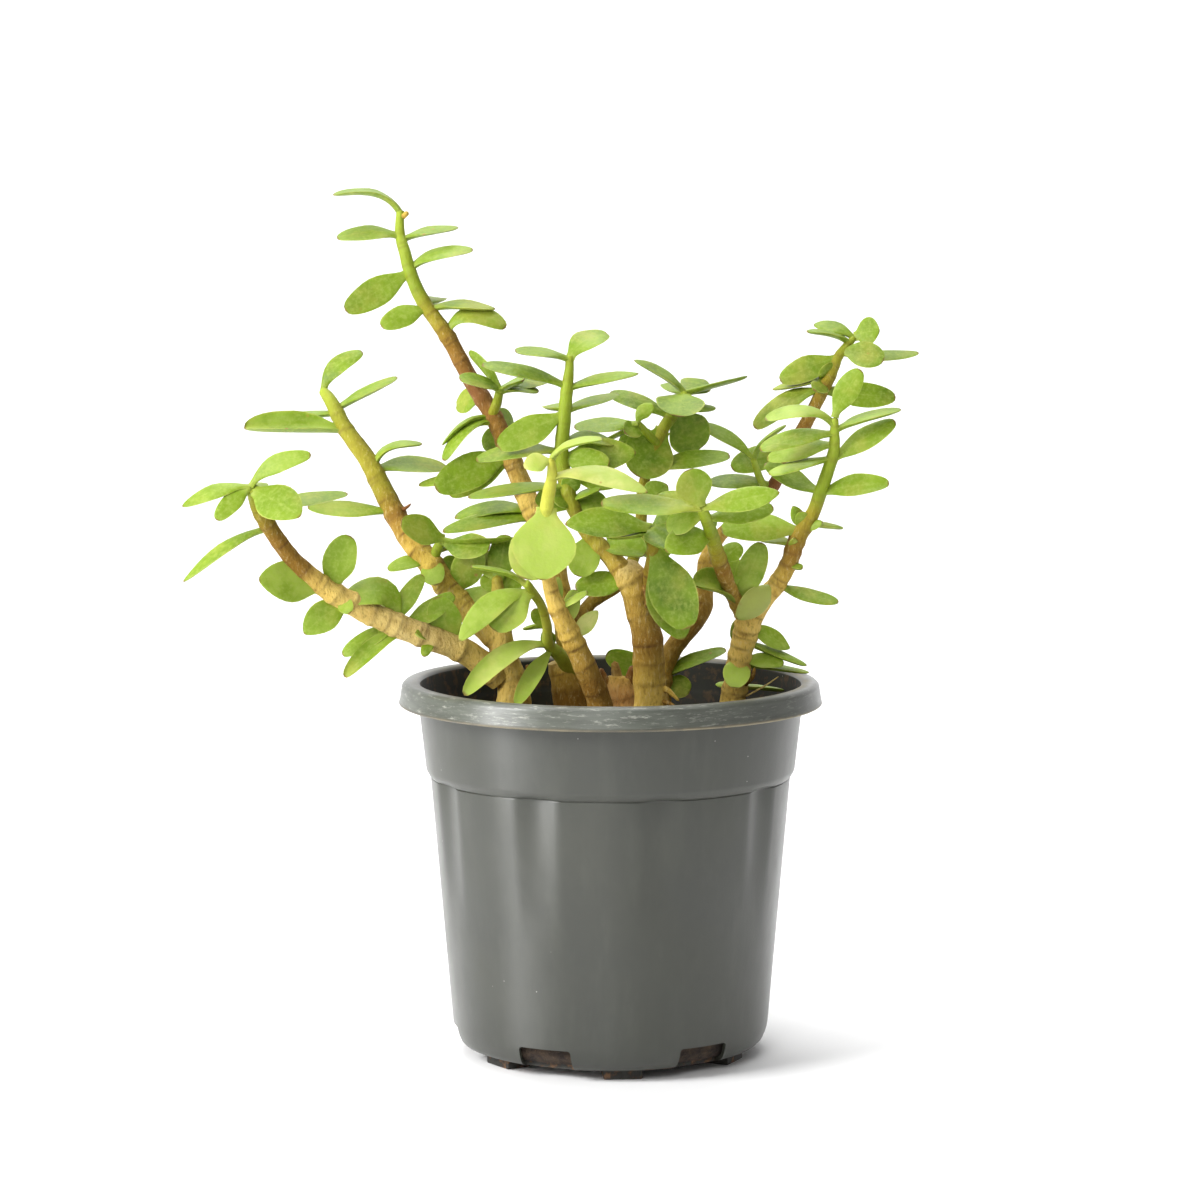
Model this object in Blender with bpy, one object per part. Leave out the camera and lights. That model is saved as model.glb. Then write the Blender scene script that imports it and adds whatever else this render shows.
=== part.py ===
"""Potted jade plant: a round plastic nursery pot, its soil and six woody cuttings of
a small succulent shrub that stand in the soil, with one cutting died back to a stub.

Run with: blender --background --python part.py
Lengths below are in millimetres, turned into Blender's metres by MM.
+Z is up, -Y is the front, and the origin is on the pot's axis at floor level.
"""

import bpy
import bmesh
from math import acos, atan2, cos, exp, hypot, pi, radians, sin
from mathutils import Matrix, Vector, noise

MM = 0.001

# Pot, a tapered wall with a stepped collar and a turned-down lip
POT_HEIGHT = 142.8
FLOOR_UNDERSIDE = 3.5
FLOOR_THICKNESS = 2.0
WALL_THICKNESS = 1.8
WALL_FOOT = (60.6, 15.5)
WALL_TOP = (68.4, 106.3)
COLLAR_FOOT = (70.1, 109.3)
COLLAR_TOP = (73.6, 140.4)
LIP_OUTER_RADIUS = 79.2
LIP_BEAD_RADIUS = 80.5
LIP_LOWER_EDGE = 134.0
LIP_THICKNESS = 1.6
MOUTH_RADIUS = 72.3
POT_SIDES = 36

# Shallow upright flutes pressed into the wall
FLUTE_COUNT = 9
FLUTE_FIRST_ANGLE = radians(-24.1)
FLUTE_HALF_ANGLE = radians(7.5)
FLUTE_DEPTH = 1.7
FLUTE_START = 52.0

# Drain notches through the foot of the wall, and the feet that the pot stands on
NOTCH_COUNT = 6
NOTCH_FIRST_ANGLE = radians(-24.5)
NOTCH_WIDTH = 21.0
NOTCH_TOP = 12.0
NOTCH_INNER_RADIUS = 52.5
FOOT_FIRST_ANGLE = radians(5.0)
FOOT_OUTER_RADIUS = 52.0
FOOT_LENGTH = 10.0
FOOT_WIDTH = 14.6
CENTRE_FOOT_RADIUS = 11.0

# Soil, level at the wall and mounded round the stems
CLEARANCE = 0.3
SOIL_SHRINKAGE = 1.1
SOIL_EDGE_HEIGHT = 122.5
SOIL_MOUND_HEIGHT = 5.0
SOIL_MOUND_CENTRE = (-4.0, -4.0)
SOIL_MOUND_SPREAD = 34.0
SOIL_ROUGHNESS = 1.0
SOIL_GRAIN = 11.0
SOIL_RINGS = (20.0, 45.0)
STEM_HOLE_CLEARANCE = 0.45

# Leaf blades: obovate, fleshy, thickest on the midrib
LEAF_THICKNESS = 2.8
LEAF_RINGS = (0.12, 0.34, 0.57, 0.79, 0.93)
SMALL_LEAF = 20.0
SMALL_LEAF_RINGS = (0.15, 0.42, 0.7, 0.92)
LEAF_SIDES = 4
PETIOLE_SHARE = 0.3
STEM_SIDES = 8
TWIG_SIDES = 6
TWIG_RADIUS = 4.6
ROUTE_STEPS = 1
TIP_ROUNDING = 0.35

# Every branch is a named row: the branch that it grows from, its route as points of
# (right, back, up, radius), and its leaves. A leaf is (place, right, back, up, width,
# lean, arch). The place counts the route's points from 0, so 2.5 is halfway between the
# third and the fourth. Right, back and up lead from the stem's axis to the leaf's tip.
# Lean turns the blade's upper side from the sky, 0, to the front, 90 degrees. Arch is
# how far the middle of the leaf rises above the straight line to its tip.
LEFT_STEM = {
    "trunk": {
        "route": [(-36.5, -8, 119, 6.5), (-36.5, -8, 135, 6.5), (-37.5, -7, 143.5, 5.7),
                  (-41, -7, 156, 4.8), (-41.5, -7, 169.5, 3.4), (-42.5, -6, 178, 2.3),
                  (-43, -6, 183.5, 1.5)],
        "leaves": [(5.3, 3, 8, 18, 11, 70, 0), (5.5, -5, 12, 10, 11, 60, 0),
                   (4.8, -5, 4, 7, 9, 50, 0), (4.8, 6, 6, 7, 12, 60, 0)],
    },
    "cut_twig": {
        "route": [(-36.5, -8, 140.5, 3.4), (-33.5, -7, 146.5, 2.5)],
        "leaves": [],
    },
    "upper_branch": {
        "route": [(-41, -7, 157, 4.6), (-57.5, -1, 173, 4.6), (-67.5, 4, 185.5, 4.6),
                  (-78, 10, 198, 4.2), (-86, 16, 212, 3.9), (-93, 21, 225, 3.5),
                  (-101.5, 27, 236, 3.1), (-107.5, 32, 246.5, 2.6), (-111, 38, 250.5, 1.7)],
        "leaves": [(7.9, 15, 4, 15, 9, 40, 3), (6.7, 24, 4, 12, 9, 15, 0.5),
                   (6.0, -39, -4, 1, 10.5, 35, 0.5), (6.6, -25, 10, -3, 10, 15, 0),
                   (4.7, 19, -3, 10, 8.5, 15, 5), (4.7, 28, 10, 0, 12, 30, 1.5),
                   (3.6, -32.5, -3, 1.5, 10.5, 30, -0.5), (2.1, -16, -3, -2, 8, 35, 1.5),
                   (2.2, 4, -13, -8, 9.5, 85, 0.5), (1.5, 3, 6, 10, 8.5, 80, 0),
                   (1.2, 11, -4, 19, 12.5, 80, 0), (1.2, 25, -9, -7, 14.5, 72, 0)],
    },
    "upper_shoot": {
        "route": [(-67.5, 4, 187, 1.9), (-65.5, 2, 193, 1.9), (-63, 0, 196.5, 1.5)],
        "leaves": [(1.7, 18, -8, -2, 13, 45, -1), (2.0, -16, -8, 7, 12, 60, 0),
                   (2.0, 27, -5, 1, 10, -10, -1), (0.8, 6, 5, 1, 5, 0, 0.5)],
    },
    "lower_branch": {
        "route": [(-41, -8, 143.5, 4.9), (-53, -12, 154, 4.9), (-62.5, -16, 159, 4.7),
                  (-80.5, -21, 166.5, 4.5), (-97, -25, 175, 4.3), (-108, -29, 182.5, 3.7),
                  (-118.5, -33, 193, 3.1), (-126.5, -38, 205.5, 2.9), (-130, -42, 213, 2.7),
                  (-132, -46, 220, 1.8)],
        "leaves": [(9.0, 22.5, -3, 12, 8, 55, 3), (9.0, -25, -2, -7, 8.5, 35, 2),
                   (8.9, -12, -8, -11, 7.5, 60, 1), (8.9, 3, 12, 1, 8, 20, 0),
                   (8.8, 19, -16, -8.5, 15.5, 62, 0.5), (7.7, 32, 8, 5.5, 10.5, 24, 1),
                   (6.9, -32, -2, -20, 8, 25, 2.5), (4.8, -24, -12, 4.5, 16, 70, 1),
                   (4.6, 7.5, -5, 21.5, 12.5, 85, 1.2), (4.6, 3.5, 4, 10, 6, 60, 0),
                   (5.0, -7, 4, -4, 5, 20, 0), (4.0, -17, -6, -11, 12, 75, 1.5),
                   (3.0, -18.5, -6, 9.3, 13.5, 44, 9), (4.3, 4, -7, -5, 6, 85, 0),
                   (3.0, -11, 8, 8, 9, 40, 1), (3.3, 3, 4, -9, 6.5, 60, 0),
                   (2.7, -24.5, -6, -17, 7, 55, 2.5), (2.9, -22, 2, -11, 9, 40, 1),
                   (2.9, 8, 7, -8, 8, 10, 0), (2.3, -5.5, -8, 3, 4.5, 60, 0),
                   (2.3, -2.5, -8.5, -6, 4.5, 60, 0), (2.9, 20, 6, 11.5, 8.5, 60, -1),
                   (3.0, 10, 6, 18, 7.5, 65, 1), (2.7, 10, 9, 7, 8, 30, 0),
                   (1.7, -6, -4, 19, 13, 80, 0), (1.6, -2, 7, 9, 9, 60, 0)],
    },
}
TALL_STEM = {
    "cut_trunk": {
        "route": [(-14, 6, 116.5, 7.2), (-14.5, 6, 132, 7.2), (-16, 7, 142, 6.8),
                  (-18.5, 7, 150.5, 5.8)],
        "leaves": [],
    },
    "leader": {
        "route": [(-15.5, 8, 134, 4.6), (-16, 8, 149.5, 4.2), (-17.5, 9, 163, 4.0),
                  (-19.5, 10, 176, 4.2), (-23, 11, 191.5, 4.4), (-27, 13, 201, 4.6),
                  (-31, 15, 209, 4.2), (-37, 17, 223.5, 3.6), (-44.3, 19, 241, 3.4),
                  (-53, 22, 255, 3.2), (-62, 24, 271.5, 3.0), (-71.5, 27, 285, 2.7),
                  (-76.5, 31, 295.5, 2.5), (-79, 34, 304, 2.3), (-81, 38, 311, 1.9),
                  (-81, 42, 320, 1.5)],
        "leaves": [(14.9, -26, 0, 6.3, 11, 5, 4.5), (13.9, -24, -5, -1, 12, 28, 1.5),
                   (13.7, 22, 5, 4.5, 9.5, 14, 1), (12.2, 24.5, 2, 7.5, 10.5, 24, 2.6),
                   (12.1, -24.5, -8, -14.5, 11.5, 80, 0), (10.8, -17.5, -8, -6.5, 9.5, 62, 0.8),
                   (10.8, 26, -2, 0, 10, 18, 1.5), (10.9, 6, 16, 2, 9, 10, 1),
                   (10.1, 23, -3, 2.5, 10.5, 40, 6.5), (8.6, -10, 14, -4, 10, 70, 0),
                   (8.0, -20, -4, -10, 8, 0, 4), (7.9, -20, -8, -14, 9, 10, 5),
                   (7.2, -28, -12, -12, 14, 75, 1), (7.1, -24, -4, -13, 11, 70, 1),
                   (7.1, -36, 5, -10, 7, 30, -1), (8.0, 7, 12, -2, 10, 75, 0),
                   (7.7, -7, 6, -6, 9, 60, 0), (5.3, -36, -2, -5, 11, 30, 1.5),
                   (5.5, -31, 8, -2, 11, 25, 3)],
    },
    "leader_shoot": {
        "route": [(-45.5, 18, 242.5, 1.9), (-43.5, 15, 246.5, 1.9), (-42, 12, 252.5, 1.5)],
        "leaves": [(1.8, 15, -2, 0, 9, 15, 1.5), (2.0, -15, -9, 4.3, 10, 35, 1),
                   (2.0, 9, -8, 4, 10, 25, 0.5), (2.0, 20, 4, 3.5, 10, 28, 1),
                   (2.0, -12, 6, 14, 9, -30, 1)],
    },
    "rear_branch": {
        "route": [(-17, 9, 156.5, 2.7), (-8, 14, 170, 2.5), (2, 18, 176.5, 2.5),
                  (8, 23, 184.5, 2.3), (11.5, 27, 197.5, 2.3), (12.5, 32, 213, 2.1),
                  (16, 36, 224, 2.1), (20, 41, 234.5, 2.3), (24, 45, 240.5, 2.4),
                  (29.5, 50, 249.5, 1.5)],
        "leaves": [(8.9, -20, -2, 13, 9.5, 20, 1.5), (9.0, 24, 0, 6, 9, -6, 0),
                   (8.9, 8, 12, 4.5, 13, 40, 0), (8.9, -8, 12, 3, 9, 20, 0),
                   (8.8, -3, -20, -7, 19, 35, 1), (8.1, 11, 5, -14, 17.5, 85, 0),
                   (8.2, 16, 2, 1, 9, 15, 0.5), (7.9, -24, 4, 9, 10, 32, 1),
                   (7.1, -10.5, -13, -17, 20, 85, 0), (5.6, 32, 4, 5.5, 12, 30, 1),
                   (6.8, -16, -4, -2, 11, 60, 0.5), (4.6, 10, -5, 8, 11, 80, 0),
                   (3.6, -12, 4, 3, 10, 50, 0.5), (3.4, 14, 4, 2, 11, 60, 0)],
    },
    "rear_shoot": {
        "route": [(18.5, 38, 229.5, 1.7), (14, 34, 234.5, 1.5), (10.5, 29, 238.5, 1.3)],
        "leaves": [(1.9, 6, 0, 7, 6, 60, 1.5), (2.0, -13, 4, -7, 6, 0, 0),
                   (1.6, -6, -7, -2, 8, 70, 0), (2.0, -24.5, -2, -1.5, 10, 33, 0)],
    },
    "trunk_shoot": {
        "route": [(-14.5, 5, 144, 3.0), (-19, -1, 152, 2.7), (-23.5, -7, 157.5, 2.1),
                  (-24, -14, 165.5, 1.8), (-26, -20, 173.5, 1.7), (-29, -26, 179, 1.7),
                  (-31.5, -32, 183.5, 1.5)],
        "leaves": [(1.9, -31.5, -20, -16.5, 9, 50, 5), (1.6, -13.5, -19, -19, 7, 60, 1),
                   (4.9, -27.5, -8, -17, 10, 60, 5), (5.1, -14.5, -3, -14, 14, 76, 1),
                   (5.7, -21, -2, 7, 8, 0, 2), (3.0, -9, 5, -2, 6, 0, 0.5),
                   (2.8, -5, -5, 8, 6, 90, 0), (1.6, -3, -4, 8, 6, 90, 0)],
    },
}
FRONT_STEM = {
    "trunk": {
        "route": [(-4, -26, 121.5, 4.5), (-4, -28, 137, 4.5), (-7.5, -31, 147, 4.4),
                  (-11.5, -33, 156.5, 4.2), (-15.5, -35, 165, 3.9), (-20, -38, 175, 3.3),
                  (-22.5, -40, 183.5, 2.7), (-24, -43, 198.5, 2.5), (-23.5, -45, 212.5, 2.5),
                  (-22.5, -47, 219, 2.4), (-21.5, -50, 225, 1.9), (-22, -52, 231.5, 1.1)],
        "leaves": [(10.9, 19, 2, 7, 8, 10, 2.5), (10.7, -10, -3, -2, 8, 60, 0.5),
                   (9.8, 35, -6, -5, 11, 35, 3.5), (8.0, -2, -9, -26, 24, 90, 0),
                   (7.7, -8, -3, -22.5, 19, 85, 0), (4.9, 11, -3, 7, 4, 40, 0),
                   (4.9, 0, 2, 12, 4, 90, 0), (3.7, 9.5, 3, 10.5, 6.5, 70, 0),
                   (4.2, 3, 3, 14, 6.5, 85, 0)],
    },
}
DIED_BACK_STUB = {
    "stub": {
        "route": [(4, 10, 116.5, 6.3), (3.5, 10, 132, 6.3), (3.5, 9, 138.5, 5.9),
                  (4, 9, 143.5, 4.2)],
        "leaves": [],
    },
    "tall_knob": {"route": [(3, 9, 139.5, 2.7), (1.5, 8, 149, 1.1)], "leaves": []},
    "left_knob": {"route": [(-1, 8, 139.5, 1.9), (-4, 7, 146.5, 0.8)], "leaves": []},
    "right_knob": {"route": [(6.5, 8, 139.5, 2.3), (8.5, 7, 147.5, 0.9)], "leaves": []},
}
MIDDLE_STEM = {
    "trunk": {
        "route": [(15.5, -10, 119, 6.4), (15.5, -11, 134.5, 6.4), (14.5, -11, 144, 5.9),
                  (14, -12, 159.5, 5.8), (11, -12, 170, 5.1), (9, -13, 179, 5.3),
                  (6.5, -13, 185.5, 5.7), (6, -14, 189, 3.8)],
        "leaves": [(5.5, -21, -2, -3, 10.5, 60, 0)],
    },
    "left_branch": {
        "route": [(6, -13, 183.5, 4.2), (-0.5, -12, 191.5, 3.4), (-8, -11, 199, 2.8),
                  (-14, -10, 209.5, 2.7), (-17, -9, 219.5, 2.7), (-18.5, -8, 229, 2.7),
                  (-17.5, -7, 242, 2.5), (-16.5, -6, 253, 2.3), (-15.5, -5, 261.5, 1.7),
                  (-15.5, -4, 266.5, 1.3)],
        "leaves": [(8.6, -20.5, -3, 3, 11, 14, 1), (8.5, 14.5, 8, 9.3, 12, 34, 2.6),
                   (7.2, -32, -4, 8, 9.5, 30, 1), (7.1, 27, 2, 5.5, 8, 26, 0.8),
                   (6.3, 20, 14, 5.5, 9, 12, 0.5), (6.4, -7, 13, 0, 9, 20, 0),
                   (6.2, -25, -6, -12, 12, 65, 0), (5.1, -32, -3, -3, 12, 25, 2),
                   (3.8, -37, -5, -4, 12.5, 15, 1), (5.3, 20, 4, 0, 12, 20, 2.5),
                   (4.9, 28, 2, 2, 13, 70, 0), (4.9, 18, -4, -2, 10.5, 70, 0),
                   (3.2, 11, -3, 5, 8, 20, 1), (3.1, -7, -4, 2, 6, 50, 0),
                   (3.4, 1, -3, 9, 7.5, 80, 0), (2.0, -4, -6, -15, 12.5, 90, 0),
                   (1.4, 16.5, -7, -2, 12, 50, 1), (4.3, 22, 3, -4, 12, 55, 0.5),
                   (2.6, 16, 6, -1, 11, 60, 0.5), (3.1, 13, 2, 1, 11, 55, 0),
                   (3.0, -14, 5, 4, 11, 55, 0)],
    },
    "right_branch": {
        "route": [(13.5, -12, 172, 3.0), (14.5, -16, 182.5, 2.8), (16, -21, 193.5, 2.5),
                  (15, -26, 203, 1.7)],
        "leaves": [(3.0, -32, -4, 2, 13.5, 55, 1), (3.0, 7, -10, -7, 13, 60, 0),
                   (2.2, 13, -9, -29.5, 17.5, 90, 0), (2.0, 11, -3, -32.5, 17, 90, 0),
                   (2.8, -16, -2, -2, 8, 10, 0), (2.6, 11, 3, 3, 10, 50, 0),
                   (3.0, 9.5, -2, 4.5, 9, 60, 0)],
    },
}
BACK_STEM = {
    "trunk": {
        "route": [(19.5, 34, 113, 3.8), (20, 37, 130.5, 3.9), (21, 39, 142.5, 3.9),
                  (25.5, 42, 151, 3.8), (32, 44, 158.5, 3.6), (36.5, 47, 165, 3.4),
                  (37, 50, 173, 3.4), (37.5, 52, 182, 3.2), (41.5, 55, 190.5, 2.8),
                  (47.5, 57, 196.5, 2.4), (58.5, 60, 204, 2.4), (64.5, 62, 212, 2.4),
                  (69.5, 65, 222.5, 2.6), (76, 68, 233.5, 2.6), (82.5, 70, 246, 2.5),
                  (87, 73, 254.5, 2.3), (91, 75, 263, 1.8), (97, 78, 269.5, 1.2)],
        "leaves": [(17.0, 9.5, -4, 2.5, 13.5, 60, 0.5), (16.9, -16, 2, 5, 9, 30, 1.5),
                   (16.6, -17.5, -6, 4.5, 7.5, 8, 1.5), (16.1, 16, -9, -3.2, 11, 70, 1),
                   (16.1, 31, 5, -0.7, 8, 28, -1.5), (15.8, -23, -4, -9, 11, 60, 0.5),
                   (14.8, -22, 2, -4, 9, 20, 1), (15.6, -7, -3, -6, 7, -40, 0),
                   (14.6, -5, -8, -2, 8, 60, 0), (14.3, 29, 3, -3, 12, 55, -0.5),
                   (14.3, -27, -3, -15, 11.5, 35, 3), (12.2, 10, -4, 5, 8.5, 60, 0),
                   (12.2, -23, -8, -6, 12, 55, 1), (11.0, -26, -4, 1, 10, 30, 1),
                   (10.3, -17, -4, -6, 9, -50, 0), (1.6, 25, 2, 11, 9, 25, 1.5),
                   (1.5, 11, -3, -3, 10, 60, 0), (1.5, -22, -2, 11, 11, 60, 0)],
    },
    "shoot": {
        "route": [(62.5, 62, 207.5, 1.7), (58.5, 56, 215.5, 1.5), (55.5, 50, 224, 1.2)],
        "leaves": [(1.9, -21, 4, 13, 9, 25, 1.5), (1.9, 13, 0, 13, 6, 0, 2)],
    },
}
RIGHT_STEM = {
    "trunk": {
        "route": [(46.5, 2, 117.5, 4.9), (46.5, 1, 134, 4.9), (48, -1, 143, 4.5),
                  (49, -2, 152, 4.4), (51, -3, 160, 4.5), (53, -5, 167.5, 4.7),
                  (58, -6, 174.5, 3.8), (63, -7, 180.5, 3.4), (67, -9, 188, 3.1),
                  (70, -10, 197, 3.3), (76, -11, 207.5, 2.6), (78.5, -13, 215, 2.5),
                  (81.5, -14, 224, 2.4), (83.5, -15, 231.5, 2.2), (83.5, -17, 238.5, 1.7),
                  (83.5, -18, 244, 1.2)],
        "leaves": [(14.9, 9.5, -2, 18, 9.5, 60, 1), (14.4, -26, -4, 2, 10.5, 25, 4.5),
                   (14.1, 25, 2, 7.5, 9, 14, 1), (13.9, -28, -4, -6, 10, 38, 1),
                   (13.3, -25, 6, -6, 10, 45, 0.5), (12.4, 24, 0, 15, 10, 45, 0.5),
                   (12.6, -24, -4, -6, 9, 20, 0.5), (11.1, -21, 4, 10, 11, 35, -1),
                   (11.0, 25.5, -6, 4, 10, 52, 0.8), (9.4, -4, -2, 9, 5.5, 60, 0),
                   (9.4, -1, -3, 7, 5.5, 70, 0), (9.6, 14, 3, -2, 5.5, 15, 0.5),
                   (9.4, 7, -4, 3, 4, 60, 0), (9.3, -30.5, -5, 1.3, 13, 53, 1.5),
                   (8.8, -13, 3, 2, 7, 20, 1), (8.6, 0, -5, 5, 4, 80, 0),
                   (8.0, 5, -5, -1, 3.5, 40, 0), (7.0, 23, -2, -7, 7.5, 40, -1.2),
                   (7.0, -16, -8, -12.5, 10.5, -80, 0), (4.5, 16.5, 5, -9, 9.5, 45, 0),
                   (3.8, 24, 2, -10, 6, 20, 0), (2.7, 17, -3, 0, 7, 45, 1.5),
                   (2.7, 27, 4, -4, 7, 10, 0.5), (2.9, -2, -9, -10, 10.5, 88, 1),
                   (1.6, 19, 8, -2, 7, 0, 1), (1.7, -7, 7, 0, 5, 30, 0)],
    },
    "front_branch": {
        "route": [(50, -4, 168, 3.0), (45, -13, 178.5, 2.6), (41.5, -22, 188, 3.0),
                  (39, -30, 195.5, 2.8), (36.5, -39, 204, 2.4), (33, -48, 213, 1.9)],
        "leaves": [(4.9, -37, -4, 2, 11.5, 38, 0), (4.9, 28.5, -3, 6, 10.5, 52, 0),
                   (4.4, 25, 5, 4, 10, 50, 0), (4.6, -14, 8, -5, 11, 60, 0),
                   (5.0, -5, -5, 14, 13.5, 85, 0), (5.0, -16, 5, 4, 8, 50, 0),
                   (4.3, 3, 7, -3, 6, 80, 0), (3.6, -17.5, -11, -4, 13.5, 60, 1.5),
                   (0.3, -18, -20, 11.5, 13, 50, 4), (0.5, 9, -6, 24, 11, 88, 0),
                   (0.9, -1, 5, 15, 9, 80, 0), (2.3, 8, 5, 6, 8, 60, 0),
                   (0.1, -3, 6, -11, 5, 60, 0)],
    },
}
PLANTS = {
    "left_leafy_stem": LEFT_STEM,
    "tall_leafy_stem": TALL_STEM,
    "front_leafy_stem": FRONT_STEM,
    "died_back_stub": DIED_BACK_STUB,
    "middle_leafy_stem": MIDDLE_STEM,
    "back_leafy_stem": BACK_STEM,
    "right_leafy_stem": RIGHT_STEM,
}
UP = Vector((0, 0, 1))


def clear_scene():
    for item in list(bpy.data.objects):
        bpy.data.objects.remove(item, do_unlink=True)


def material(name, colour, roughness, metallic=0.0):
    made = bpy.data.materials.new(name)
    made.use_nodes = True
    shader = made.node_tree.nodes["Principled BSDF"]
    shader.inputs["Base Color"].default_value = (*colour, 1.0)
    shader.inputs["Roughness"].default_value = roughness
    shader.inputs["Metallic"].default_value = metallic
    return made


def object_from(name, shape, finish=None):
    """Turn a bmesh modelled in millimetres into a scene object in metres."""
    bmesh.ops.scale(shape, vec=(MM, MM, MM), verts=shape.verts)
    mesh = bpy.data.meshes.new(name)
    shape.to_mesh(mesh)
    shape.free()
    made = bpy.data.objects.new(name, mesh)
    bpy.context.scene.collection.objects.link(made)
    if finish is not None:
        mesh.materials.append(finish)
    return made


def combine(body, others, operation, solver="EXACT"):
    """Join or cut a body with a collection of shapes, apply it and remove the shapes."""
    group = bpy.data.collections.new(body.name + "_" + operation.lower())
    for item in others:
        group.objects.link(item)
    step = body.modifiers.new(operation.title(), "BOOLEAN")
    step.operation = operation
    step.operand_type = "COLLECTION"
    step.collection = group
    step.solver = solver
    bpy.context.view_layer.update()
    result = body.evaluated_get(bpy.context.evaluated_depsgraph_get())
    mesh = bpy.data.meshes.new_from_object(result)
    body.modifiers.clear()
    body.data = mesh
    for item in others:
        bpy.data.objects.remove(item, do_unlink=True)
    bpy.data.collections.remove(group)
    return body


# Pot and soil

def flute_depth(angle, height):
    """How far the wall is pressed in at this angle and height."""
    pitch = 2 * pi / FLUTE_COUNT
    offset = (angle - FLUTE_FIRST_ANGLE + pitch / 2) % pitch - pitch / 2
    across = max(0.0, 1 - (offset / FLUTE_HALF_ANGLE) ** 2) ** 1.5
    rise = (height - FLUTE_START) / (WALL_TOP[1] - FLUTE_START)
    upward = max(0.0, min(1.0, rise))
    if height > WALL_TOP[1] + 1:
        upward = 0.0
    return FLUTE_DEPTH * across * upward


def wall_radius(height):
    """Outer radius of the tapered wall."""
    (low_radius, low), (high_radius, high) = WALL_FOOT, WALL_TOP
    return low_radius + (high_radius - low_radius) * (height - low) / (high - low)


def inner_radius(height):
    """Inner radius of the pot at a height between its floor and the collar's top."""
    if height <= WALL_TOP[1]:
        return wall_radius(height) - WALL_THICKNESS
    (low_radius, low), (high_radius, high) = COLLAR_FOOT, COLLAR_TOP
    return low_radius + (high_radius - low_radius) * (height - low) / (high - low) \
        - WALL_THICKNESS


def turned(profile):
    """Spin a profile of (radius, height) round the axis and press the flutes in."""
    shape = bmesh.new()
    start = [shape.verts.new((radius, 0, height)) for radius, height in profile]
    edges = [shape.edges.new(pair) for pair in zip(start, start[1:])]
    bmesh.ops.rotate(shape, verts=start, cent=(0, 0, 0),
                     matrix=turn_about_axis(FLUTE_FIRST_ANGLE - pi / 2))
    bmesh.ops.spin(shape, geom=start + edges, cent=(0, 0, 0), axis=(0, 0, 1),
                   angle=2 * pi, steps=POT_SIDES, use_merge=True, use_duplicate=False)
    bmesh.ops.remove_doubles(shape, verts=shape.verts, dist=0.01)
    bmesh.ops.recalc_face_normals(shape, faces=shape.faces)
    for vertex in shape.verts:
        radius = hypot(vertex.co.x, vertex.co.y)
        if radius > FOOT_OUTER_RADIUS:
            angle = atan2(vertex.co.x, -vertex.co.y)
            share = 1 - flute_depth(angle, vertex.co.z) / radius
            vertex.co.x *= share
            vertex.co.y *= share
    return shape


def turn_about_axis(angle):
    return Matrix.Rotation(angle, 3, "Z")


def pot_profile():
    """The wall's section: out along the underside, up, over the lip and down inside."""
    inside_floor = FLOOR_UNDERSIDE + FLOOR_THICKNESS
    lip_inside = LIP_OUTER_RADIUS - LIP_THICKNESS
    outer = [(0, FLOOR_UNDERSIDE), (54, FLOOR_UNDERSIDE), (58.5, 5.3), (60, 9.5), WALL_FOOT,
             (wall_radius(FLUTE_START), FLUTE_START), WALL_TOP,
             (69.3, 107.4), COLLAR_FOOT, (72.6, 131.5), COLLAR_TOP]
    lip = [(lip_inside - 1, COLLAR_TOP[1] + 0.2), (lip_inside + 0.9, LIP_LOWER_EDGE + 1),
           (LIP_BEAD_RADIUS - 1.2, LIP_LOWER_EDGE), (LIP_BEAD_RADIUS, LIP_LOWER_EDGE + 0.6),
           (LIP_BEAD_RADIUS - 0.6, LIP_LOWER_EDGE + 2.4),
           (LIP_OUTER_RADIUS, POT_HEIGHT - 1.5), (LIP_OUTER_RADIUS - 1.6, POT_HEIGHT),
           (MOUTH_RADIUS + 1, POT_HEIGHT),
           (MOUTH_RADIUS, POT_HEIGHT - 1)]
    inner = [(inner_radius(130), 130), (inner_radius(109.3), 109.3),
             (inner_radius(WALL_TOP[1]), WALL_TOP[1]),
             (inner_radius(FLUTE_START), FLUTE_START), (inner_radius(9), 9),
             (56, inside_floor), (0, inside_floor)]
    return outer + lip + inner


def block(size, place, angle, edge):
    """A box with rounded upright edges, set at a radius and turned round the axis."""
    shape = bmesh.new()
    bmesh.ops.create_cube(shape, size=1)
    bmesh.ops.scale(shape, vec=size, verts=shape.verts)
    long_edges = [item for item in shape.edges
                  if abs(item.verts[0].co.x - item.verts[1].co.x) > edge]
    bmesh.ops.bevel(shape, geom=long_edges, offset=edge, segments=2, profile=0.5,
                    material=-1, affect="EDGES")
    bmesh.ops.translate(shape, vec=place, verts=shape.verts)
    bmesh.ops.rotate(shape, verts=shape.verts, cent=(0, 0, 0),
                     matrix=turn_about_axis(angle - pi / 2))
    return shape


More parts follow.
